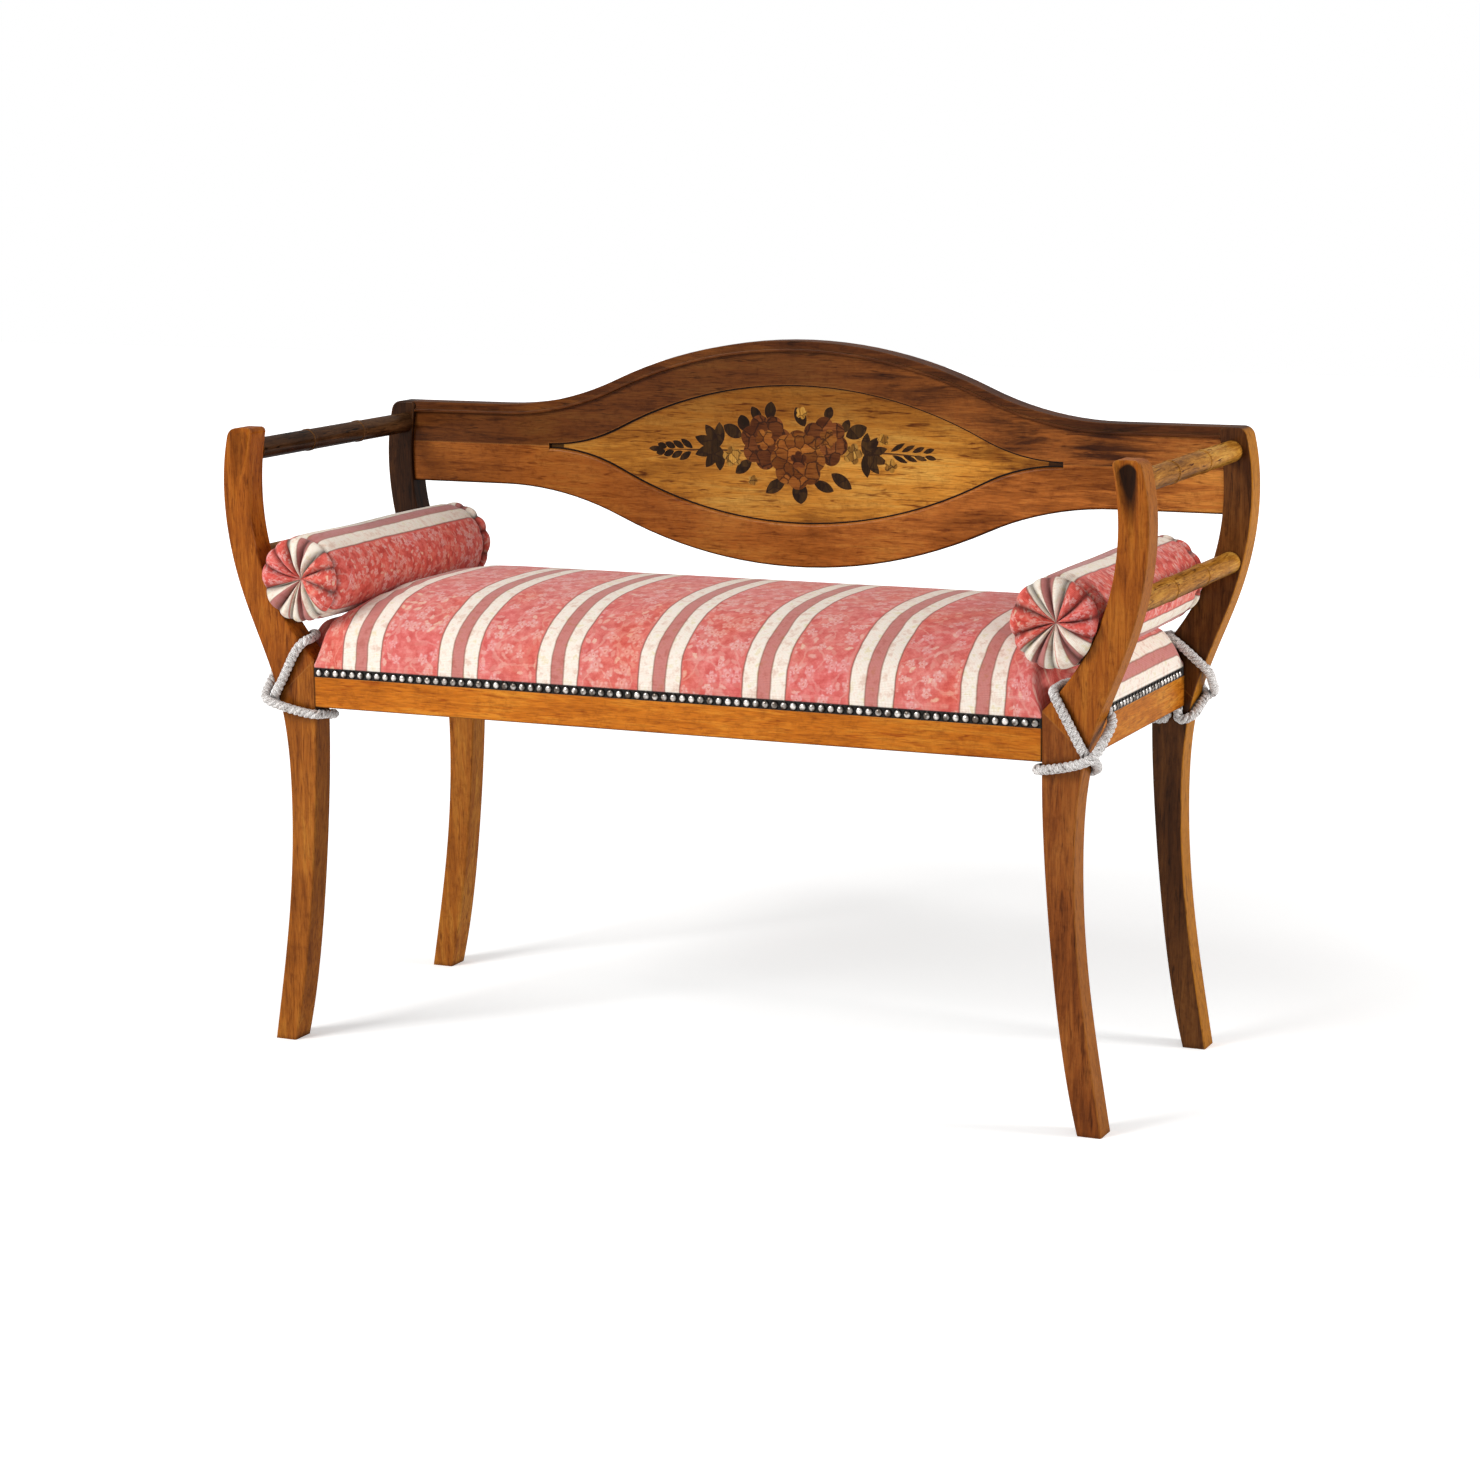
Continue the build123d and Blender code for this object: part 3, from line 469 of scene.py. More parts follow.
# %% Panel and inlays
for nodes, name, along, *colours, more in (
        # Figured veneer: golden, with painted shade towards the top and left, and dark in its two tips
        ("back_panel", "golden figured veneer", "X", "#7A4614", "#DC983A", "#F0BC5A",
         dict(streak_mm=12.0, seed=11.0, veins=0.8, joint=0.299,
              deepen=[("Z", 0.63, 0.70, 0.75), ("X", 0.25, -0.15, 0.5)])),
        # Stained and smoked veneers: dark line and leaves, brown roses, pale hearts and blossoms
        ("back_stringing", "ebonised stringing", "X", "#120A06", "#1E120A", "#2E1C10",
         dict(seed=12.0, rub="#2E1C10")),
        ("inlay_leaves", "smoked leaf veneer", "Z", "#1A120A", "#3C2812", "#5E4220",
         dict(streak_mm=16.0, seed=13.0, rub="#3A2412", petals=13.0)),
        ("inlay_stems", "brown stem veneer", "X", "#3A2410", "#54351A", "#6A4522",
         dict(seed=14.0, rub="#4A2E16")),
        ("inlay_roses", "rose veneer", "X", "#4E2412", "#74401E", "#90562A",
         dict(streak_mm=12.0, seed=15.0, rub="#6A3A1C", petals=15.0)),
        ("inlay_rose_hearts", "rose heart veneer", "X", "#7A421A", "#A66428", "#BE8038",
         dict(seed=16.0, rub="#7A4520", petals=13.0)),
        ("inlay_blossoms", "pale blossom veneer", "Z", "#9A6A28", "#C4903A", "#D8AC58",
         dict(seed=17.0, rub="#B58235", petals=8.0))):
    dress(varnished(name, along, *colours, **more), nodes)

# %% [markdown]
# Close rows of domed nails hold the cover to the rails. They are brass with an antique wash:
# bright only where the dome has been rubbed, with painted shade round each rim and nearly black
# painted shade in the gaps. Each head is a real dome in the CAD, so a finish is all they need. The
# corner bolts under the seat are plain steel.

# %% Nails and bolts


def washed_metal(name, bright, dull, wear_mm, rough):
    """Metal under a dark wash: bright in spots wear_mm wide, with painted shade round each head's rim and in
    gaps.
    """
    m, add, shader = new_finish(name, {"Metallic": 1.0})
    place = add("TexCoord")["Object"]
    spots = add("TexNoise", {"Vector": place, "Scale": 1 / (wear_mm * MM), "Detail": 4.0})["Fac"]
    hue = add("ValToRGB", [spots], [(0.38, dull), (0.6, bright)])["Color"]
    looks = add("SeparateXYZ", [add("NewGeometry")["Normal"]])
    ways = [add("Math", [looks[k]], operation="ABSOLUTE")[0] for k in "XYZ"]
    rim_shade = add("Math", [ways[0], ways[1]], operation="MAXIMUM")[0]
    rim_shade = add("Math", [rim_shade, ways[2]], operation="MAXIMUM")[0]
    rim_shade = add("MapRange", [rim_shade, 0.92, 0.72])[0]
    # painted shade round the rim of each head and in the gaps between heads
    for mask, colour in ((rim_shade, "#1A1613"), (painted_corner_shade(add, 4.0, 0.98, 0.5, 1.0), "#0E0C0A")):
        hue = add("Mix", {0: mask, 6: hue, 7: linear(colour)}, **TINT)[2]
    matt = add("MapRange", [spots, 0, 1, rough + 0.15, rough])[0]
    wire(shader, {"Base Color": hue, "Roughness": matt})
    return m


# Old brass looks like a string of grey pearls: a small highlight on each dome, with painted shade round its
# rim
nail_metal = washed_metal("antique brass nail", "#D6D0CA", "#5A524B", 8.0, 0.2)
dress(nail_metal, *[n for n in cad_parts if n.startswith("nails_")])
bolt_metal = washed_metal("plain steel bolt", "#B9BBBD", "#8C8E90", 4.0, 0.3)
dress(bolt_metal, "corner_bolts")

# %% [markdown]
# A silvery cord is lashed round each joint of leg, rail and arm in a figure eight that crosses on
# the outer corner. The CAD has it as a plain tube. Here one smooth spline follows the same route,
# with two listed points at each edge it goes round, and three strands wind about that line.
# A texture could fake the twist, but real strands catch the light and cast their own shadows.

# %% Rope lashings
rope_route = np.array([
    (453.0, -155.4, 381.5), (453.0, -155.3, 372.0), (454.5, -155.0, 367.8), (463.0, -154.4, 369.5),
    (470.4, -160.5, 374.0), (472.0, -177.0, 383.0), (473.2, -192.8, 389.0), (468.6, -198.9, 393.5),
    (456.0, -198.4, 416.0), (441.5, -199.4, 443.0), (432.8, -194.6, 455.0), (433.0, -178.0, 455.5),
    (434.5, -162.5, 457.5), (443.0, -154.4, 458.5), (460.0, -155.4, 446.0), (477.5, -154.4, 431.0),
    (486.2, -160.2, 422.6), (483.4, -182.0, 406.4), (481.2, -199.9, 394.6), (474.6, -207.4, 388.8),
    (452.0, -201.6, 380.8), (424.5, -199.4, 375.4), (416.0, -194.0, 374.6), (416.0, -176.0, 373.0),
    (416.4, -160.0, 370.0), (421.5, -154.4, 368.0), (436.0, -155.2, 367.0), (441.2, -155.3, 371.0),
    (441.2, -155.4, 381.5)])


def smooth_line(points, count):
    """Points evenly spaced along the spline whose control points are given, in mm."""
    curve = bpy.data.curves.new("rope line", "CURVE")
    curve.dimensions, curve.resolution_u = "3D", 24
    spline = curve.splines.new("NURBS")
    spline.points.add(len(points) - 1)
    spline.points.foreach_set("co", np.c_[points, np.ones(len(points))].ravel())
    spline.order_u, spline.use_endpoint_u = 3, True
    holder = bpy.data.objects.new("rope line", curve)
    mesh = bpy.data.meshes.new_from_object(holder)
    co = np.empty(3 * len(mesh.vertices))
    mesh.vertices.foreach_get("co", co)
    co = co.reshape(-1, 3)
    bpy.data.objects.remove(holder)
    bpy.data.meshes.remove(mesh)
    bpy.data.curves.remove(curve)
    run = distance(co)
    at = np.linspace(0, run[-1], count)
    return np.stack([np.interp(at, run, co[:, k]) for k in range(3)], 1), run[-1]


def strands(line, length, count=3, offset=2.6, thick=2.7, pitch=19.0, sides=10):
    """Round strands on helices: centre = line + offset (n cos a + b sin a), a = turns + 2 pi k / count.

    n is a normal carried along the line without twist and b is square to it."""
    ahead = unit(np.gradient(line, axis=0))
    normal = np.empty_like(ahead)
    normal[0] = np.cross(ahead[0], (0.0, 1.0, 0.0))
    for i in range(1, len(ahead)):
        normal[i] = unit(normal[i - 1] - ahead[i] * (normal[i - 1] @ ahead[i]))
    other = np.cross(ahead, normal)
    a = 2 * np.pi * (np.linspace(0, length / pitch, len(line))[:, None] + np.arange(count) / count)
    out = normal[:, None] * np.cos(a)[..., None] + other[:, None] * np.sin(a)[..., None]
    centre = line[:, None] + offset * out
    side = np.cross(unit(np.gradient(centre, axis=0)), out)
    b = 2 * np.pi * np.arange(sides) / sides
    ring = out[:, :, None] * np.cos(b)[:, None] + side[:, :, None] * np.sin(b)[:, None]
    skin = (centre[:, :, None] + thick * ring).transpose(1, 0, 2, 3)
    rows = len(line)
    cloth = np.zeros((count, rows, sides, 3))
    cloth[..., 0] = np.linspace(0, length, rows)[:, None]
    cloth[..., 1] = thick * b
    cloth[..., 2] = 40.0 * np.arange(count)[:, None, None]
    one = quads(rows, sides, round_cols=True)
    faces = np.concatenate([one + k * rows * sides for k in range(count)]).tolist()
    for first in range(0, count * rows * sides, rows * sides):
        last = first + (rows - 1) * sides
        faces += [list(range(first + sides - 1, first - 1, -1)), list(range(last, last + sides))]
    return skin.reshape(-1, 3), faces, cloth.reshape(-1, 3)


# Twisted cotton is matt and silvery, with painted shade along the twist and in its furrows. Its
# threads are about 0.5 mm thick, and are drawn 1.6 mm apart so that they show
rope_finish, add, shader = new_finish("silver-white twisted cotton cord", {"Roughness": 0.55,
                                                                           "Sheen Weight": 0.3})
thread = add("Attribute", attribute_name="cloth")["Vector"]
ply = add("Mapping", {"Vector": thread, "Rotation": (0, 0, 0.6)})[0]
twist = add("TexWave", {"Vector": ply, "Scale": 0.2, "Distortion": 1.5, "Detail": 2.0})["Fac"]
fleck = add("TexNoise", {"Vector": thread, "Scale": 0.42, "Detail": 3.0, "Roughness": 0.75})["Fac"]
hue = add("ValToRGB", [fleck], [(0.36, "#5A514E"), (0.44, "#DDD5D0"), (0.52, "#FDFBF9")])["Color"]
shade = add("ValToRGB", [twist], [(0.0, "#9A8E88"), (0.5, "#FFFFFF")])["Color"]
hue = add("Mix", {0: 0.75, 6: hue, 7: shade}, **GLAZE)[2]
# painted shade in the furrows between the strands
nook = painted_corner_shade(add, 5.0, 0.75, 0.25, 0.85)
hue = add("Mix", {0: nook, 6: hue, 7: linear("#3A302C")}, **TINT)[2]
ridge = add("Bump", {"Height": twist, "Strength": 0.6, "Distance": 0.5 * MM})[0]
wire(shader, {"Base Color": hue, "Normal": ridge})

rope_line, rope_length = smooth_line(rope_route, 330)
rope_skin, rope_faces, rope_cloth = strands(rope_line, rope_length)
for name, sx, sy in (("front_right", 1, 1), ("front_left", -1, 1),
                     ("rear_right", 1, -1), ("rear_left", -1, -1)):
    faces = rope_faces if sx * sy > 0 else [f[::-1] for f in rope_faces]
    rope = add_piece("rope_" + name, rope_skin * (sx, sy, 1), faces, rope_finish, "frame",
                     rope_cloth)
    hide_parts("lashing_" + name)
print("rope length", round(rope_length, 1), "mm")

# %% [markdown]
# The cover is a striped damask: every 120 mm a rose line between two cream bands, and between
# these a wide coral band woven with flowers, leaves and thin vines. The pattern follows the cloth
# and not the room, so each piece carries its cloth coordinates in mm: u across the stripes, v
# along them, and a third number that is 1 deep in a crease, where the cloth is darkened as painted
# shade. Flowers could be set one by one, but the cells of a Voronoi texture scatter them more
# simply: each cell has its own place, turn and size.

# %% Striped damask
HALF_REPEAT = 60.0  # mm, from the middle of a rose line to the middle of a coral band
FULL_TURN = 6.283
WEAVE = 0.20  # waves of 0.314 / 0.20 = 1.6 mm: real threads are 0.3 mm apart and would not show
HEM_SHADE_TOP = (0.4272, 0.4260)  # metres, where the black band under the nails starts, painted shade for the gaps between them


def damask(name, deep, coral, pale, cream, rose, bloom_mm, empty, hem=False):
    """Stripes from the fold of u about 60 mm, flowers about cell centres, vines on a noise level line.

    A flower is where r < size (0.78 + 0.2 cos 5a); empty is the share of cells that have none."""
    # Old silk damask: a dull sheen, and flowers that stand a little proud of a soft ground
    m, add, shader = new_finish(name, {"Roughness": 0.8, "Sheen Weight": 0.2, "Sheen Roughness": 0.4,
                                       "Specular IOR Level": 0.25})
    thread = add("Attribute", attribute_name="cloth")["Vector"]
    sway = add("TexNoise", {"Vector": thread, "Scale": 0.22, "Detail": 3.0})["Color"]
    spot = add("VectorMath", [sway, (5.0, 5.0, 0.0), thread], operation="MULTIPLY_ADD")[0]
    wave = add("TexNoise", {"Vector": thread, "Scale": 0.03, "Detail": 2.0})["Color"]
    line = add("VectorMath", [wave, (3.0, 0.0, 0.0), thread], operation="MULTIPLY_ADD")[0]

    # Stripes
    fold = add("SeparateXYZ", [line])["X"]
    for way in ("PINGPONG", "DIVIDE"):
        fold = add("Math", [fold, HALF_REPEAT], operation=way)[0]
    mottle = add("TexNoise", {"Vector": spot, "Scale": 0.085, "Detail": 4.0, "Roughness": 0.65})["Fac"]
    band = add("ValToRGB", [fold], [
        (0.0, rose), (0.100, rose), (0.112, "#A56A60"), (0.128, "#C4AC9E"), (0.142, cream), (0.385, cream),
        (0.396, "#BCA498"), (0.412, "#9C5850"), (0.425, coral), (1.0, coral)])["Color"]
    tinge = add("ValToRGB", [mottle], [
        (0.36, "#E6C9BC"), (0.46, "#FFF6F0"), (0.54, "#FFFFFF"), (0.66, "#EFE6BE")])["Color"]
    band = add("Mix", {0: 0.7, 6: band, 7: tinge}, **GLAZE)[2]
    inside = add("MapRange", [fold, 0.42, 0.46])[0]
    woven = add("ValToRGB", [mottle], [(0.36, deep), (0.5, coral), (0.66, pale)])["Color"]

    # Vines
    vine = add("TexNoise", {"Vector": spot, "Scale": 0.028, "Detail": 0.0})["Fac"]
    vine = add("Math", [vine, 0.5], operation="SUBTRACT")[0]
    vine = add("Math", [vine], operation="ABSOLUTE")[0]
    vine = add("MapRange", [vine, 0.026, 0.008, 0, 0.45])[0]
    woven = add("Mix", {0: vine, 6: woven, 7: linear("#EDB4A8")}, **TINT)[2]

    def scattered(cell_mm, loose):
        """Cells of the cloth: three random numbers each, the way from the middle, 0 where one is empty."""
        cell = add("TexVoronoi", {"Vector": spot, "Scale": 1 / cell_mm, "Randomness": loose},
                   voronoi_dimensions="2D")
        luck = add("SeparateColor", [cell["Color"]])
        off = add("VectorMath", [spot, cell["Position"]], operation="SUBTRACT")[0]
        some = add("MapRange", [luck[2], empty, empty + 0.02])[0]
        return luck, off, some

    # Leaves: ellipses, each turned its own way
    leaf_mm = 0.62 * bloom_mm
    luck, off, some = scattered(leaf_mm, 0.9)
    turn = add("Math", [luck[0], FULL_TURN], operation="MULTIPLY")[0]
    off = add("VectorRotate", {"Vector": off, "Angle": turn}, rotation_type="Z_AXIS")[0]
    off = add("VectorMath", [off, (2.1 / leaf_mm, 4.6 / leaf_mm, 0.0)], operation="MULTIPLY")[0]
    leaf = add("VectorMath", [off], operation="LENGTH")["Value"]
    leaf = add("MapRange", [leaf, 1.25, 0.7, 0, 0.85])[0]
    leaf = add("Math", [leaf, some], operation="MULTIPLY")[0]
    tone = add("ValToRGB", [luck[1]], [
        (0.0, "#DA7C70"), (0.4, "#E69A90"), (0.8, "#EDB4A8"), (1.0, "#F0CDB4")])["Color"]
    woven = add("Mix", {0: leaf, 6: woven, 7: tone}, **TINT)[2]

    # Flowers of five petals
    luck, off, some = scattered(bloom_mm, 0.8)
    reach = add("VectorMath", [off], operation="LENGTH")["Value"]
    xy = add("SeparateXYZ", [off])
    angle = add("Math", [xy["Y"], xy["X"]], operation="ARCTAN2")[0]
    angle = add("Math", [luck[0], FULL_TURN, angle], operation="MULTIPLY_ADD")[0]
    angle = add("Math", [angle, 5.0], operation="MULTIPLY")[0]
    petal = add("Math", [angle], operation="COSINE")[0]
    petal = add("Math", [petal, 0.20, 0.78], operation="MULTIPLY_ADD")[0]
    size = add("MapRange", [luck[1], 0, 1, 0.28 * bloom_mm, 0.48 * bloom_mm])[0]
    near = add("Math", [reach, size], operation="DIVIDE")[0]
    flower = add("Math", [petal, near], operation="SUBTRACT")[0]
    flower = add("MapRange", [flower, -0.2, 0.25, 0, 0.85])[0]
    flower = add("Math", [flower, some], operation="MULTIPLY")[0]
    tone = add("ValToRGB", [near], [
        (0.10, "#D97C6C"), (0.24, "#F0BDB4"), (0.5, "#E79E98"), (0.8, "#F4CCC6")])["Color"]
    woven = add("Mix", {0: flower, 6: woven, 7: tone}, **TINT)[2]

    # Wear, uneven dye, threads, and painted shade in creases
    worn = add("TexNoise", {"Vector": thread, "Scale": 0.35, "Detail": 4.0, "Roughness": 0.7})["Fac"]
    worn = add("MapRange", [worn, 0.52, 0.72, 0, 0.6])[0]
    woven = add("Mix", {0: worn, 6: woven, 7: linear(coral)}, **TINT)[2]
    dye = add("TexNoise", {"Vector": thread, "Scale": 0.012, "Detail": 3.0})["Fac"]
    dye = add("ValToRGB", [dye], [(0.36, "#FFD8C2"), (0.5, "#FFFFFF"), (0.64, "#FFE4EE")])["Color"]
    woven = add("Mix", {0: 0.7, 6: woven, 7: dye}, **GLAZE)[2]
    cloth = add("Mix", {0: inside, 6: band, 7: woven}, **TINT)[2]
    weave = crossed(add, thread, WEAVE, 0.4)
    thready = add("ValToRGB", [weave], [(0.0, "#DED4D0"), (0.6, "#FFFFFF")])["Color"]
    cloth = add("Mix", {0: 0.6, 6: cloth, 7: thready}, **GLAZE)[2]
    crease_shade = add("SeparateXYZ", [thread])["Z"]
    # painted shade in creases and in the groove behind each bolster end
    cloth = add("Mix", {0: crease_shade, 6: cloth, 7: linear("#2A100C")}, **TINT)[2]
    # painted shade: the hem under the nails is laid black
    if hem:
        room = add("SeparateXYZ", [add("TexCoord")["Object"]])
        hem_shade = add("MapRange", [room["Z"], *HEM_SHADE_TOP])[0]
        cloth = add("Mix", {0: hem_shade, 6: cloth, 7: linear("#14120F")}, **TINT)[2]
    raised = add("Math", [flower, 1.5, weave], operation="MULTIPLY_ADD")[0]
    relief = add("Bump", {"Height": raised, "Strength": 0.25, "Distance": 0.4 * MM})[0]
    wire(shader, {"Base Color": cloth, "Normal": relief})
    return m


seat_cloth = damask("striped damask, seat", "#D2605A", "#E0766E", "#EC968E", "#FCF5EA", "#CC847E",
                    17.0, 0.3, hem=True)
bolster_cloth = damask("striped damask, bolsters", "#BE443A", "#DE6054", "#EC8678", "#F8F1E4", "#BE7C78",
                       11.0, 0.4)
print("damask repeat", 2 * HALF_REPEAT, "mm")

# %% [markdown]
# The seat is a firm stuffed pad that swells to a crown and is pulled down over the rails under the
# nails. A rounded box would bend the stripes at its corners, so it is one surface over a grid of
# the plan: x along the length and y across. The four corner cells are left out, because the pad is
# cut there to pass the posts, and a skirt of a few rows drops from the whole edge to the hem. The
# bolsters press a groove near each end. The stuffing is then let swell: Blender's cloth with a
# little pressure inside and no gravity, the hem held by the nails, stops after 20 frames, and no
# point may move further than a few millimetres.

# %% Seat
AXIS_X, AXIS_Y, AXIS_Z, HALF_ROLL = 435.0, -22.0, 522.9, 183.0  # a roll's axis and half length
ROLL_R, ROLL_GAP = 50.5, 0.8  # the radius that presses the seat, and the gap under it
HALF_L, HALF_D, TURN_Z = 458.0, 192.5, 430.5  # half length and depth, height at which the edge turns down
NOTCH_X, NOTCH_Y = 421.0, 161.3  # inner corner of the cut for a post
END_RISE, CROWN_RISE = 17.0, 62.0  # the ends over the turn, and the crown over the ends
SKIRT = (1.5, 4.0, 8.0, 11.5, 14.5)  # rows of the skirt, down to the hem
PRESSURE, FRAMES = 4.0, 20


def smooth_step(v):
    """0 below 0, 1 above 1, and 3 v^2 - 2 v^3 between."""
    v = np.clip(v, 0, 1)
    return v * v * (3 - 2 * v)


def pressed(points):
    """Points under a roll are held below it: z is at most the roll's lower arc, less a small gap."""
    reach = ROLL_R - 0.1
    x, z = np.abs(points[..., 0]), points[..., 2]
    off = x.clip(AXIS_X - reach, AXIS_X + reach) - AXIS_X
    arc = AXIS_Z - np.sqrt(ROLL_R ** 2 - off ** 2) - ROLL_GAP
    z = np.where(x > AXIS_X - reach, np.minimum(z, arc), z)
    return np.concatenate([points[..., :2], z[..., None]], -1)


def seat_form(cols, rows, end, face):
    """Height = turn line + H g over the shares s, t of half length and half depth, lower by the notches.

    H = 17 + 62 (1 - |s|^12), g = (1 - |t|^p)^0.35 and p = 2.4 + 14 |s|^12."""
    xs = np.r_[np.linspace(-HALF_L, -NOTCH_X, end)[:-1], np.linspace(-NOTCH_X, NOTCH_X, cols),
               np.linspace(NOTCH_X, HALF_L, end)[1:]]
    out = HALF_D - (HALF_D - NOTCH_Y) * np.linspace(0, 1, face) ** 2
    ys = np.r_[-out[:-1], np.linspace(-NOTCH_Y, NOTCH_Y, rows), out[-2::-1]]
    x, y = np.meshgrid(xs, ys)
    s, t = np.abs(x / HALF_L) ** 12, np.abs(y / HALF_D)
    z = TURN_Z + (END_RISE + CROWN_RISE * (1 - s)) * (1 - t ** (2.4 + 14.0 * s)).clip(0, 1) ** 0.35
    z = pressed(np.stack([x, y, z], -1))[..., 2]
    dip = smooth_step((np.abs(x) - NOTCH_X + 7) / 10) * (1 - smooth_step((NOTCH_Y - np.abs(y)) / 20))
    away = np.hypot(np.clip(NOTCH_X - np.abs(x), 0, None), np.clip(NOTCH_Y - np.abs(y), 0, None))
    z = np.maximum(z - (z - TURN_Z) * dip - 7.0 * np.exp(-away / 4.0), TURN_Z)
    top = np.stack([x, y, z], -1)
    nx, ny = len(xs), len(ys)
    u, v = distance(top[ny // 2]), distance(top[:, nx // 2])
    threads = np.stack([(u - u[nx // 2])[None, :] + 0 * z, (v - v[ny // 2])[:, None] + 0 * z, 0 * z], -1)
    points, threads = top.reshape(-1, 3), threads.reshape(-1, 3)

    # Numbers of the points on the edge, once round it and into each notch
    i = np.arange(nx * ny).reshape(ny, nx)
    a, b, c, d = end - 1, nx - end, face - 1, ny - face
    rim = np.r_[i[0, a:b], i[0:c, b], i[c, b:-1], i[c:d, -1], i[d, -1:b:-1], i[d:-1, b],
                i[-1, b:a:-1], i[-1:d:-1, a], i[d, a:0:-1], i[d:c:-1, 0], i[c, 0:a], i[c:0:-1, a]]
    edge, weave = points[rim], threads[rim]
    ahead = np.roll(edge, -1, axis=0) - edge
    long_way = np.abs(ahead[:, 0]) > np.abs(ahead[:, 1])
    faces = [notched(points, ny, nx, NOTCH_X, NOTCH_Y)]
    ring, start = rim, len(points)
    for drop in SKIRT:
        low = edge * (1, 1, 0) + (0, 0, TURN_Z - drop)
        fall = (edge[:, 2] - low[:, 2]) * np.where(long_way, np.sign(edge[:, 1]), np.sign(edge[:, 0]))
        more = weave + np.stack([np.where(long_way, 0, fall), np.where(long_way, fall, 0), 0 * fall], 1)
        points, threads = np.r_[points, low], np.r_[threads, more]
        nxt = start + np.arange(len(rim))
        faces.append(np.stack([ring, nxt, np.roll(nxt, -1), np.roll(ring, -1)], 1))
        ring, start = nxt, start + len(rim)
    used, back = np.unique(np.concatenate(faces), return_inverse=True)
    return points[used], back.reshape(-1, 4), threads[used]


def swell(piece, held, most, shape):
    """Cloth with pressure and no gravity; moves are cut to most mm, and shape keeps points off neighbours."""
    mesh = piece.data
    before = np.empty(3 * len(mesh.vertices))
    mesh.vertices.foreach_get("co", before)
    before = before.reshape(-1, 3) / MM
    piece.vertex_groups.new(name="held").add(np.flatnonzero(held).tolist(), 1.0, "REPLACE")
    stuffing = piece.modifiers.new("stuffing", "CLOTH")
    stuffing.settings.vertex_group_mass = "held"
    stuffing.settings.use_pressure, stuffing.settings.uniform_pressure_force = True, PRESSURE
    stuffing.settings.effector_weights.gravity = 0.0
    stuffing.point_cache.frame_start, stuffing.point_cache.frame_end = 1, FRAMES
    for f in range(1, FRAMES + 1):
        scene.frame_set(f)
    swollen = piece.evaluated_get(bpy.context.evaluated_depsgraph_get())
    after = np.empty(3 * len(mesh.vertices))
    swollen.data.vertices.foreach_get("co", after)
    move = after.reshape(-1, 3) / MM - before
    far = np.linalg.norm(move, axis=1)
    move *= (np.minimum(far, most) / np.maximum(far, 1e-9))[:, None]
    piece.modifiers.remove(stuffing)
    piece.vertex_groups.clear()
    scene.frame_set(1)
    mesh.vertices.foreach_set("co", (shape(before + move) * MM).ravel())
    mesh.update()
    print(piece.name, "swelled by", np.round([far.mean(), far.max()], 2), "mm, kept",
          np.round(np.minimum(far, most).mean(), 2))


seat_points, seat_faces, seat_threads = seat_form(111, 45, 6, 10)
seat = add_piece("seat_pad", seat_points, seat_faces, seat_cloth, "frame", seat_threads)
swell(seat, seat_points[:, 2] < TURN_Z + 0.5, 2.5, pressed)
finer = seat.modifiers.new("smooth cloth", "SUBSURF")
finer.levels = finer.render_levels = 1
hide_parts("seat_cover", "seat_foam")
thicken(seat, "cloth thickness", 1.6)

# %% [markdown]
# Each bolster is a stuffed roll: a tube of the same cloth, gathered at both ends into pleats that
# meet in a sunk point, with a drawn-in groove behind the gathers. A plain roll with bumps in its
# finish would keep a round outline, so the pleats are shaped. The outline is turned about the
# roll's axis. Each pleat is a rounded puff between two sharp creases, |sin| of the angle, and the
# front posts press the roll flat where they hold it. The filling swells as the seat's did, with the
# drawn-in groove and the middle of each end held by their threads.

# %% Bolsters
post_z = np.r_[420:561:20, 600]  # heights and places of a post's inner face
post_x = np.array([409.0, 427.3, 444.4, 458.4, 469.9, 479.2, 486.5, 491.9, 497.5])
POST_Y, POST_HALF = -177.0, 16.7
MOST_R = 50.2
PLEATS, END_DEEP, GROOVE_IN = 12, 17.5, 18.3  # pleats per end, length of a gathered end, place of its groove
end_r = np.array([0.3, 2.5, 5, 8, 12, 17, 22, 27, 32, 37, 41, 44.0, 46.0, 46.8, 46.0, 43.6, 40.6, 39.4,
                  41.2, 44.6, 47.2, 48.6])  # outline of an end: radius, and how far in from the end
end_h = np.array([13.0, 12.4, 11.0, 8.4, 5.4, 2.8, 1.2, .4, .2, 0.9, 2.4, 4.6, 7.4, 10.6, 13.4, 15.6, 17.0,
                  18.4, 19.8, 21.2, 23.4, 27.0])


def beside_post(x, y, z):
    """x held, softly, inside the inner face of the front post where y passes it."""
    gap = np.clip(np.abs(y - POST_Y) - POST_HALF, 0, None)
    wall = np.interp(z, post_z, post_x) - 1.0 + 1.2 * gap
    return wall - np.logaddexp(0, (wall - x) / 0.8) * 0.8


def rolled(points):
    """A roll kept in its place: within a radius of its axis, its length, and clear of the post."""
    x, y, z = np.abs(points[:, 0]) - AXIS_X, points[:, 1] - AXIS_Y, points[:, 2] - AXIS_Z
    k = np.minimum(1, MOST_R / np.maximum(np.hypot(x, z), 1e-6))
    x, y, z = AXIS_X + x * k, AXIS_Y + y.clip(-HALF_ROLL, HALF_ROLL), AXIS_Z + z * k
    return np.stack([np.sign(points[:, 0]) * np.minimum(x, beside_post(x, y, z)), y, z], 1)


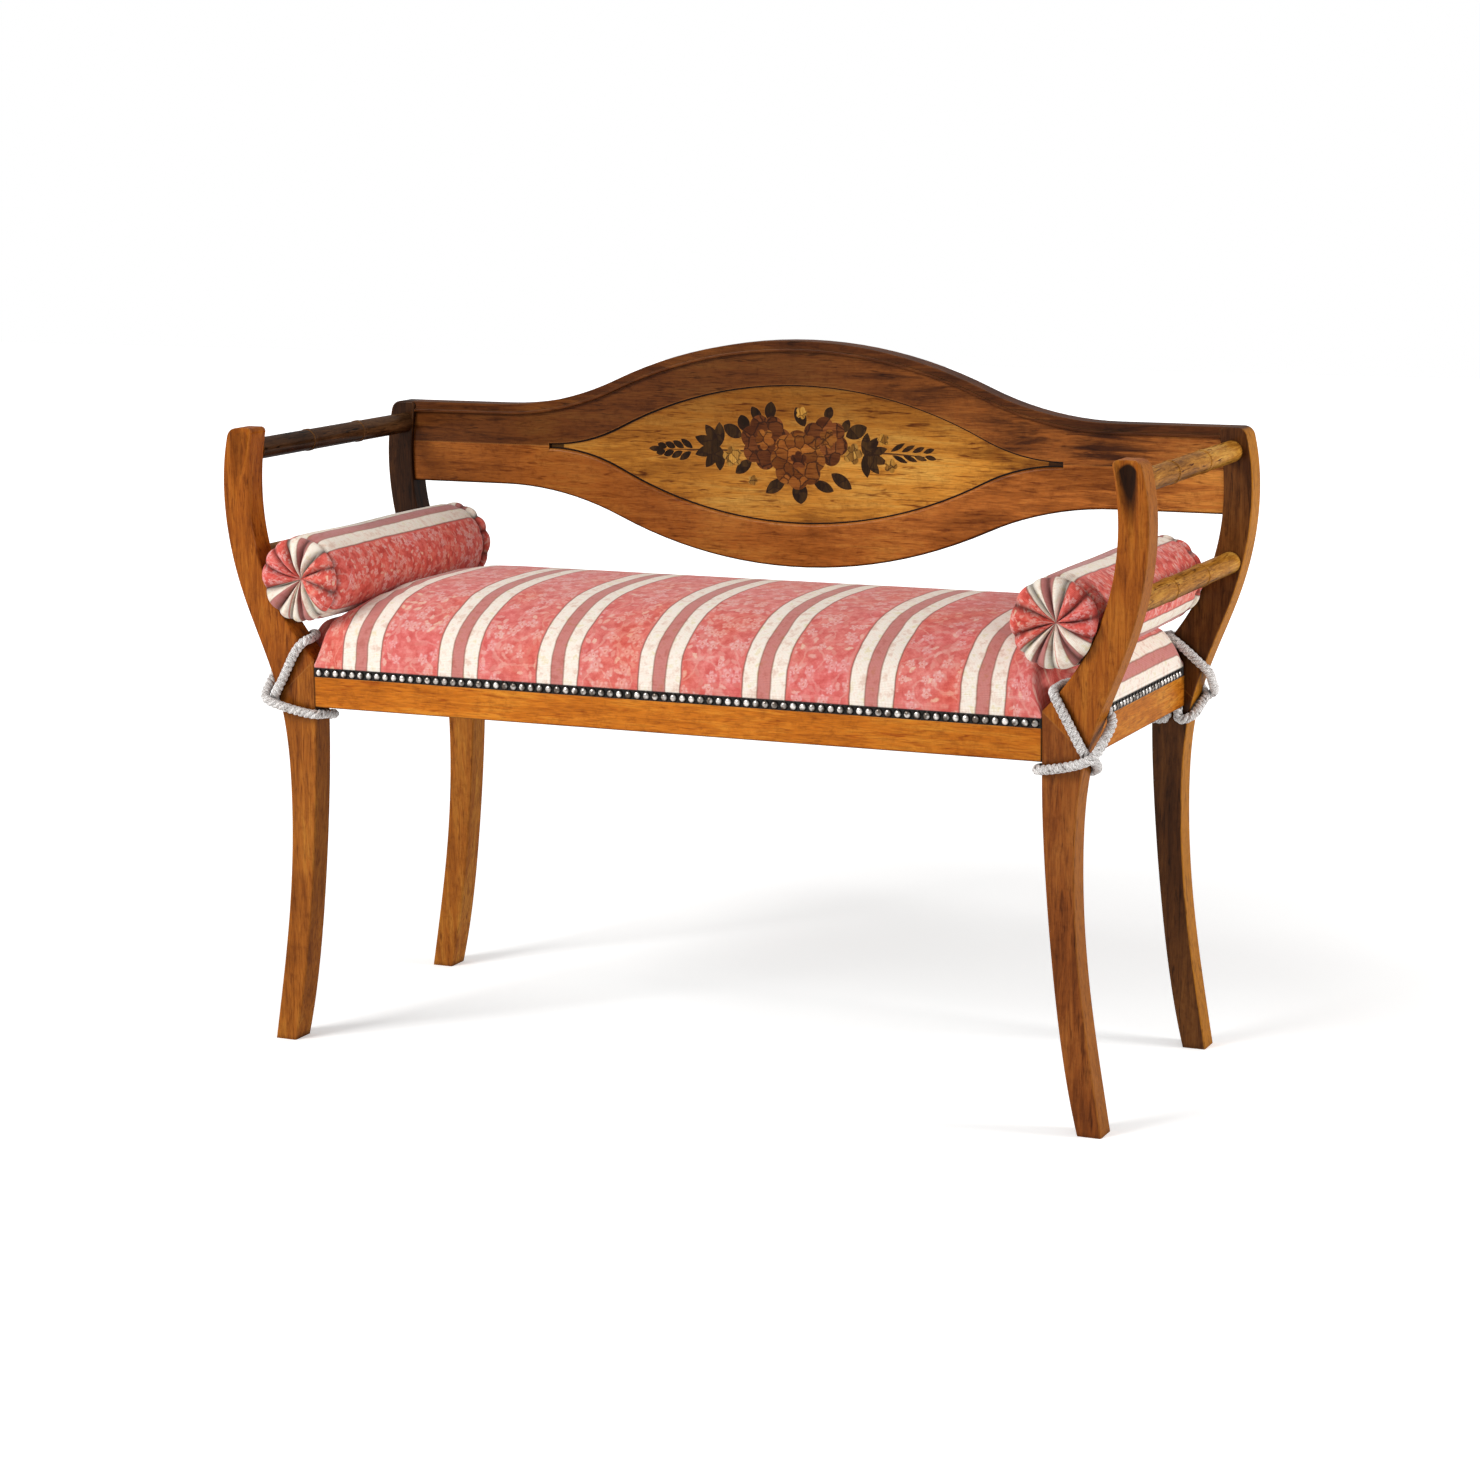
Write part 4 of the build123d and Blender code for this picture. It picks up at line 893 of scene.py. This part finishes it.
def bolster_form(facing, swirl, sides=156):
    """Outline r(h) turned about Y; pleats sink by depth(r) (1 - |sin(p / 2)|^0.7), p = 12 a made uneven.

    Returns the points, their cloth coordinates and which of them threads hold."""
    body_h = np.linspace(33.0, 2 * HALF_ROLL - 33.0, 30)
    h = np.r_[end_h, body_h, 2 * HALF_ROLL - end_h[::-1]] - HALF_ROLL
    belly = 49.0 + 0.9 * np.sqrt(np.clip(1 - ((body_h - HALF_ROLL) / HALF_ROLL) ** 2, 0, 1))
    r = np.r_[end_r, belly, end_r[::-1]]
    run = distance(np.c_[h, r])
    a = 2 * np.pi * np.arange(sides)[None, :] / sides
    h2, r2 = h[:, None], r[:, None]
    at_end = np.clip((np.abs(h2) - (HALF_ROLL - END_DEEP)) / 3.0, 0, 1)
    p = PLEATS * a + 1.2 * np.sin(2 * a + swirl) + 0.9 * np.sin(3 * a + 2 * swirl)
    ridge = np.abs(np.sin((p + at_end * 1.6 * (1 - r2 / 48.0)) / 2))
    lively = 0.8 + 0.2 * np.sin(2 * a + 3 * swirl)
    depth = 11.0 * np.sin(np.pi * np.clip((r2 + 4) / 56.0, 0, 1)) * at_end * lively
    hh = h2 - np.sign(h2) * depth * (1 - ridge ** 0.7)
    groove = np.exp(-((np.abs(h2) - (HALF_ROLL - GROOVE_IN)) / 2.4) ** 2)
    near = np.exp(-((np.abs(h2) - (HALF_ROLL - 23)) / 12.0) ** 2) * (1 - at_end)
    dent = 0.5 * np.sin(2 * a + h2 * 0.021) + 0.4 * np.sin(3 * a - h2 * 0.034 + 1.3) - 0.6
    dent = np.clip(dent, -2.0, 0.0) * (1 - at_end) - near * 1.6 * (1 - ridge) ** 2
    rim = at_end * 2.2 * (1 - ridge ** 0.7) * np.clip((r2 - 30) / 18.0, 0, 1)
    rr = r2 + dent - rim
    turn = a + np.radians(facing)
    x, y, z = AXIS_X + rr * np.cos(turn), AXIS_Y + hh + 0 * a, AXIS_Z + rr * np.sin(turn)
    x = beside_post(x, y, z)
    # painted shade: the creases between pleats and the groove behind the gathers
    crease_shade = np.clip((1 - ridge) ** 2.2 * at_end * np.clip(r2 / 12.0, 0.3, 1) + 0.9 * groove, 0, 1)
    cloth = np.stack([45.5 * (a - np.pi) + 0 * h2, run[:, None] + 0 * a, 0.9 * crease_shade], -1)
    return np.stack([x, y, z], -1), cloth, ((groove > 0.5) | (r2 < 9) | (0 * a > 1)).ravel()


def close_roll(points):
    """Quads round the roll and one cap at each pole, wound to face outwards."""
    rows, sides = points.shape[:2]
    faces = quads(rows, sides, round_cols=True).tolist()
    last = (rows - 1) * sides
    return faces + [list(range(sides - 1, -1, -1)), list(range(last, last + sides))]


for side, sign, facing, swirl in (("left", -1, -73.0, 0.4), ("right", 1, -80.0, 1.3)):
    points, cloth, tied = bolster_form(facing, swirl)
    faces = close_roll(points)
    if sign < 0:
        points, faces = points * (-1, 1, 1), [f[::-1] for f in faces]
    roll = add_piece("bolster_roll_" + side, points.reshape(-1, 3), faces, bolster_cloth,
                     "bolster_" + side, cloth.reshape(-1, 3))
    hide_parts("bolster_" + side + "_cover", "bolster_" + side + "_fill")
    swell(roll, tied, 2.0, rolled)
    finer = roll.modifiers.new("smooth cloth", "SUBSURF")
    finer.levels = finer.render_levels = 1

# %% [markdown]
# Inside the seat, jute webbing is stretched both ways across the rails with burlap over it, and a
# thin black cloth closes the underside. Each is a flat cloth pulled tight, so one function makes
# the two cloths, a grid with a slight sag, less the corners that are cut out round the legs, and
# the straps are plain grids side by side.

# %% Webbing, burlap and dust cloth
STRAP_HALF = 25.0


def stretched(xs, ys, z, sag, cut_x, cut_y):
    """Grid at height z less sag (1 - s^2)(1 - t^2); cells beyond both cuts are left out."""
    x, y = np.meshgrid(xs, ys)
    s, t = x / np.abs(xs).max(), y / np.abs(ys).max()
    points = np.stack([x, y, z - sag * (1 - s ** 2) * (1 - t ** 2)], -1).reshape(-1, 3)
    faces = notched(points, len(ys), len(xs), cut_x, cut_y)
    used, back = np.unique(faces, return_inverse=True)
    return points[used], back.reshape(-1, 4)


def plain_weave(name, dark, light, thread_mm):
    """Plain weave in room coordinates: product of two waves one thread apart, uneven in tone."""
    m, add, shader = new_finish(name, {"Roughness": 0.9, "Sheen Weight": 0.15})
    place = add("TexCoord")["Object"]
    weave = crossed(add, place, 0.314 / (thread_mm * MM), 0.6)
    slub = add("TexNoise", {"Vector": place, "Scale": 1 / (30 * MM), "Detail": 4.0})["Fac"]
    weave = add("Mix", {0: 0.4, 2: weave, 3: slub})[0]
    hue = add("ValToRGB", [weave], [(0.15, dark), (0.6, light)])["Color"]
    relief = add("Bump", {"Height": weave, "Strength": 0.4, "Distance": 0.4 * MM})[0]
    wire(shader, {"Base Color": hue, "Normal": relief})
    return m


# Jute and burlap are hairy and straw brown, cambric is a dull black. Cambric's threads are really
# 0.3 mm apart, drawn coarser to show; those of the other two are about true
jute = plain_weave("jute webbing", "#6E5A3A", "#A88E62", 2.5)
sack = plain_weave("coarse burlap", "#75603F", "#B39A6E", 2.0)
cambric = plain_weave("black cambric", "#0E0D0C", "#2A2826", 1.5)
cover = (np.r_[-450, -427, np.linspace(-403.5, 403.5, 61), 427, 450],
         np.r_[-184.5, -162, np.linspace(-139.5, 139.5, 25), 162, 184.5])
inner = (np.r_[-449, -429, np.linspace(-409.5, 409.5, 61), 429, 449],
         np.r_[-184.5, -167, np.linspace(-149, 149, 25), 167, 184.5])
for name, grid, z, sag, cut, finish, slot, thick, old in (
        ("dust_cloth", cover, 381.6, 0.5, (403.5, 139.5), cambric, "dust_cloth", 0.6, "seat_dust_cover"),
        ("burlap_cloth", inner, 433.9, 0.0, (409.5, 149.0), sack, "burlap", 0.8, "seat_burlap")):
    points, faces = stretched(*grid, z, sag, *cut)
    piece = add_piece(name, points, faces, finish, "frame")
    thicken(piece, "cloth thickness", thick)
    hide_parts(old)
for name, along, places, z, reach in (("webbing_long", 0, np.array([-90.5, 0, 90.5]), 432.9, 455.0),
                                      ("webbing_cross", 1, np.arange(-3, 4) * 110.01, 431.4, 189.0)):
    run, across = np.linspace(-reach, reach, 41), np.linspace(-STRAP_HALF, STRAP_HALF, 5)
    a, b = np.meshgrid(run, across)
    one = quads(len(across), len(run))
    pair = (a[None] + 0 * places[:, None, None], b[None] + places[:, None, None])
    points = np.stack([pair[along], pair[1 - along], np.full(pair[0].shape, z)], -1).reshape(-1, 3)
    faces = (one[None] + a.size * np.arange(len(places))[:, None, None]).reshape(-1, 4)
    straps = add_piece(name, points, faces if along == 0 else faces[:, ::-1], jute, "frame")
    thicken(straps, "strap thickness", 1.3)
    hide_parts("seat_" + name)

# %% [markdown]
# Last, the box of the CAD frame and the box of what is seen are written down side by side, because
# cloth may stand a little proud of the frame, but must not make the settee larger.

# %% Sizes and end
size = {"cad": cad_box, "visual": [list(map(float, corner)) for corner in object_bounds()]}
print(size)
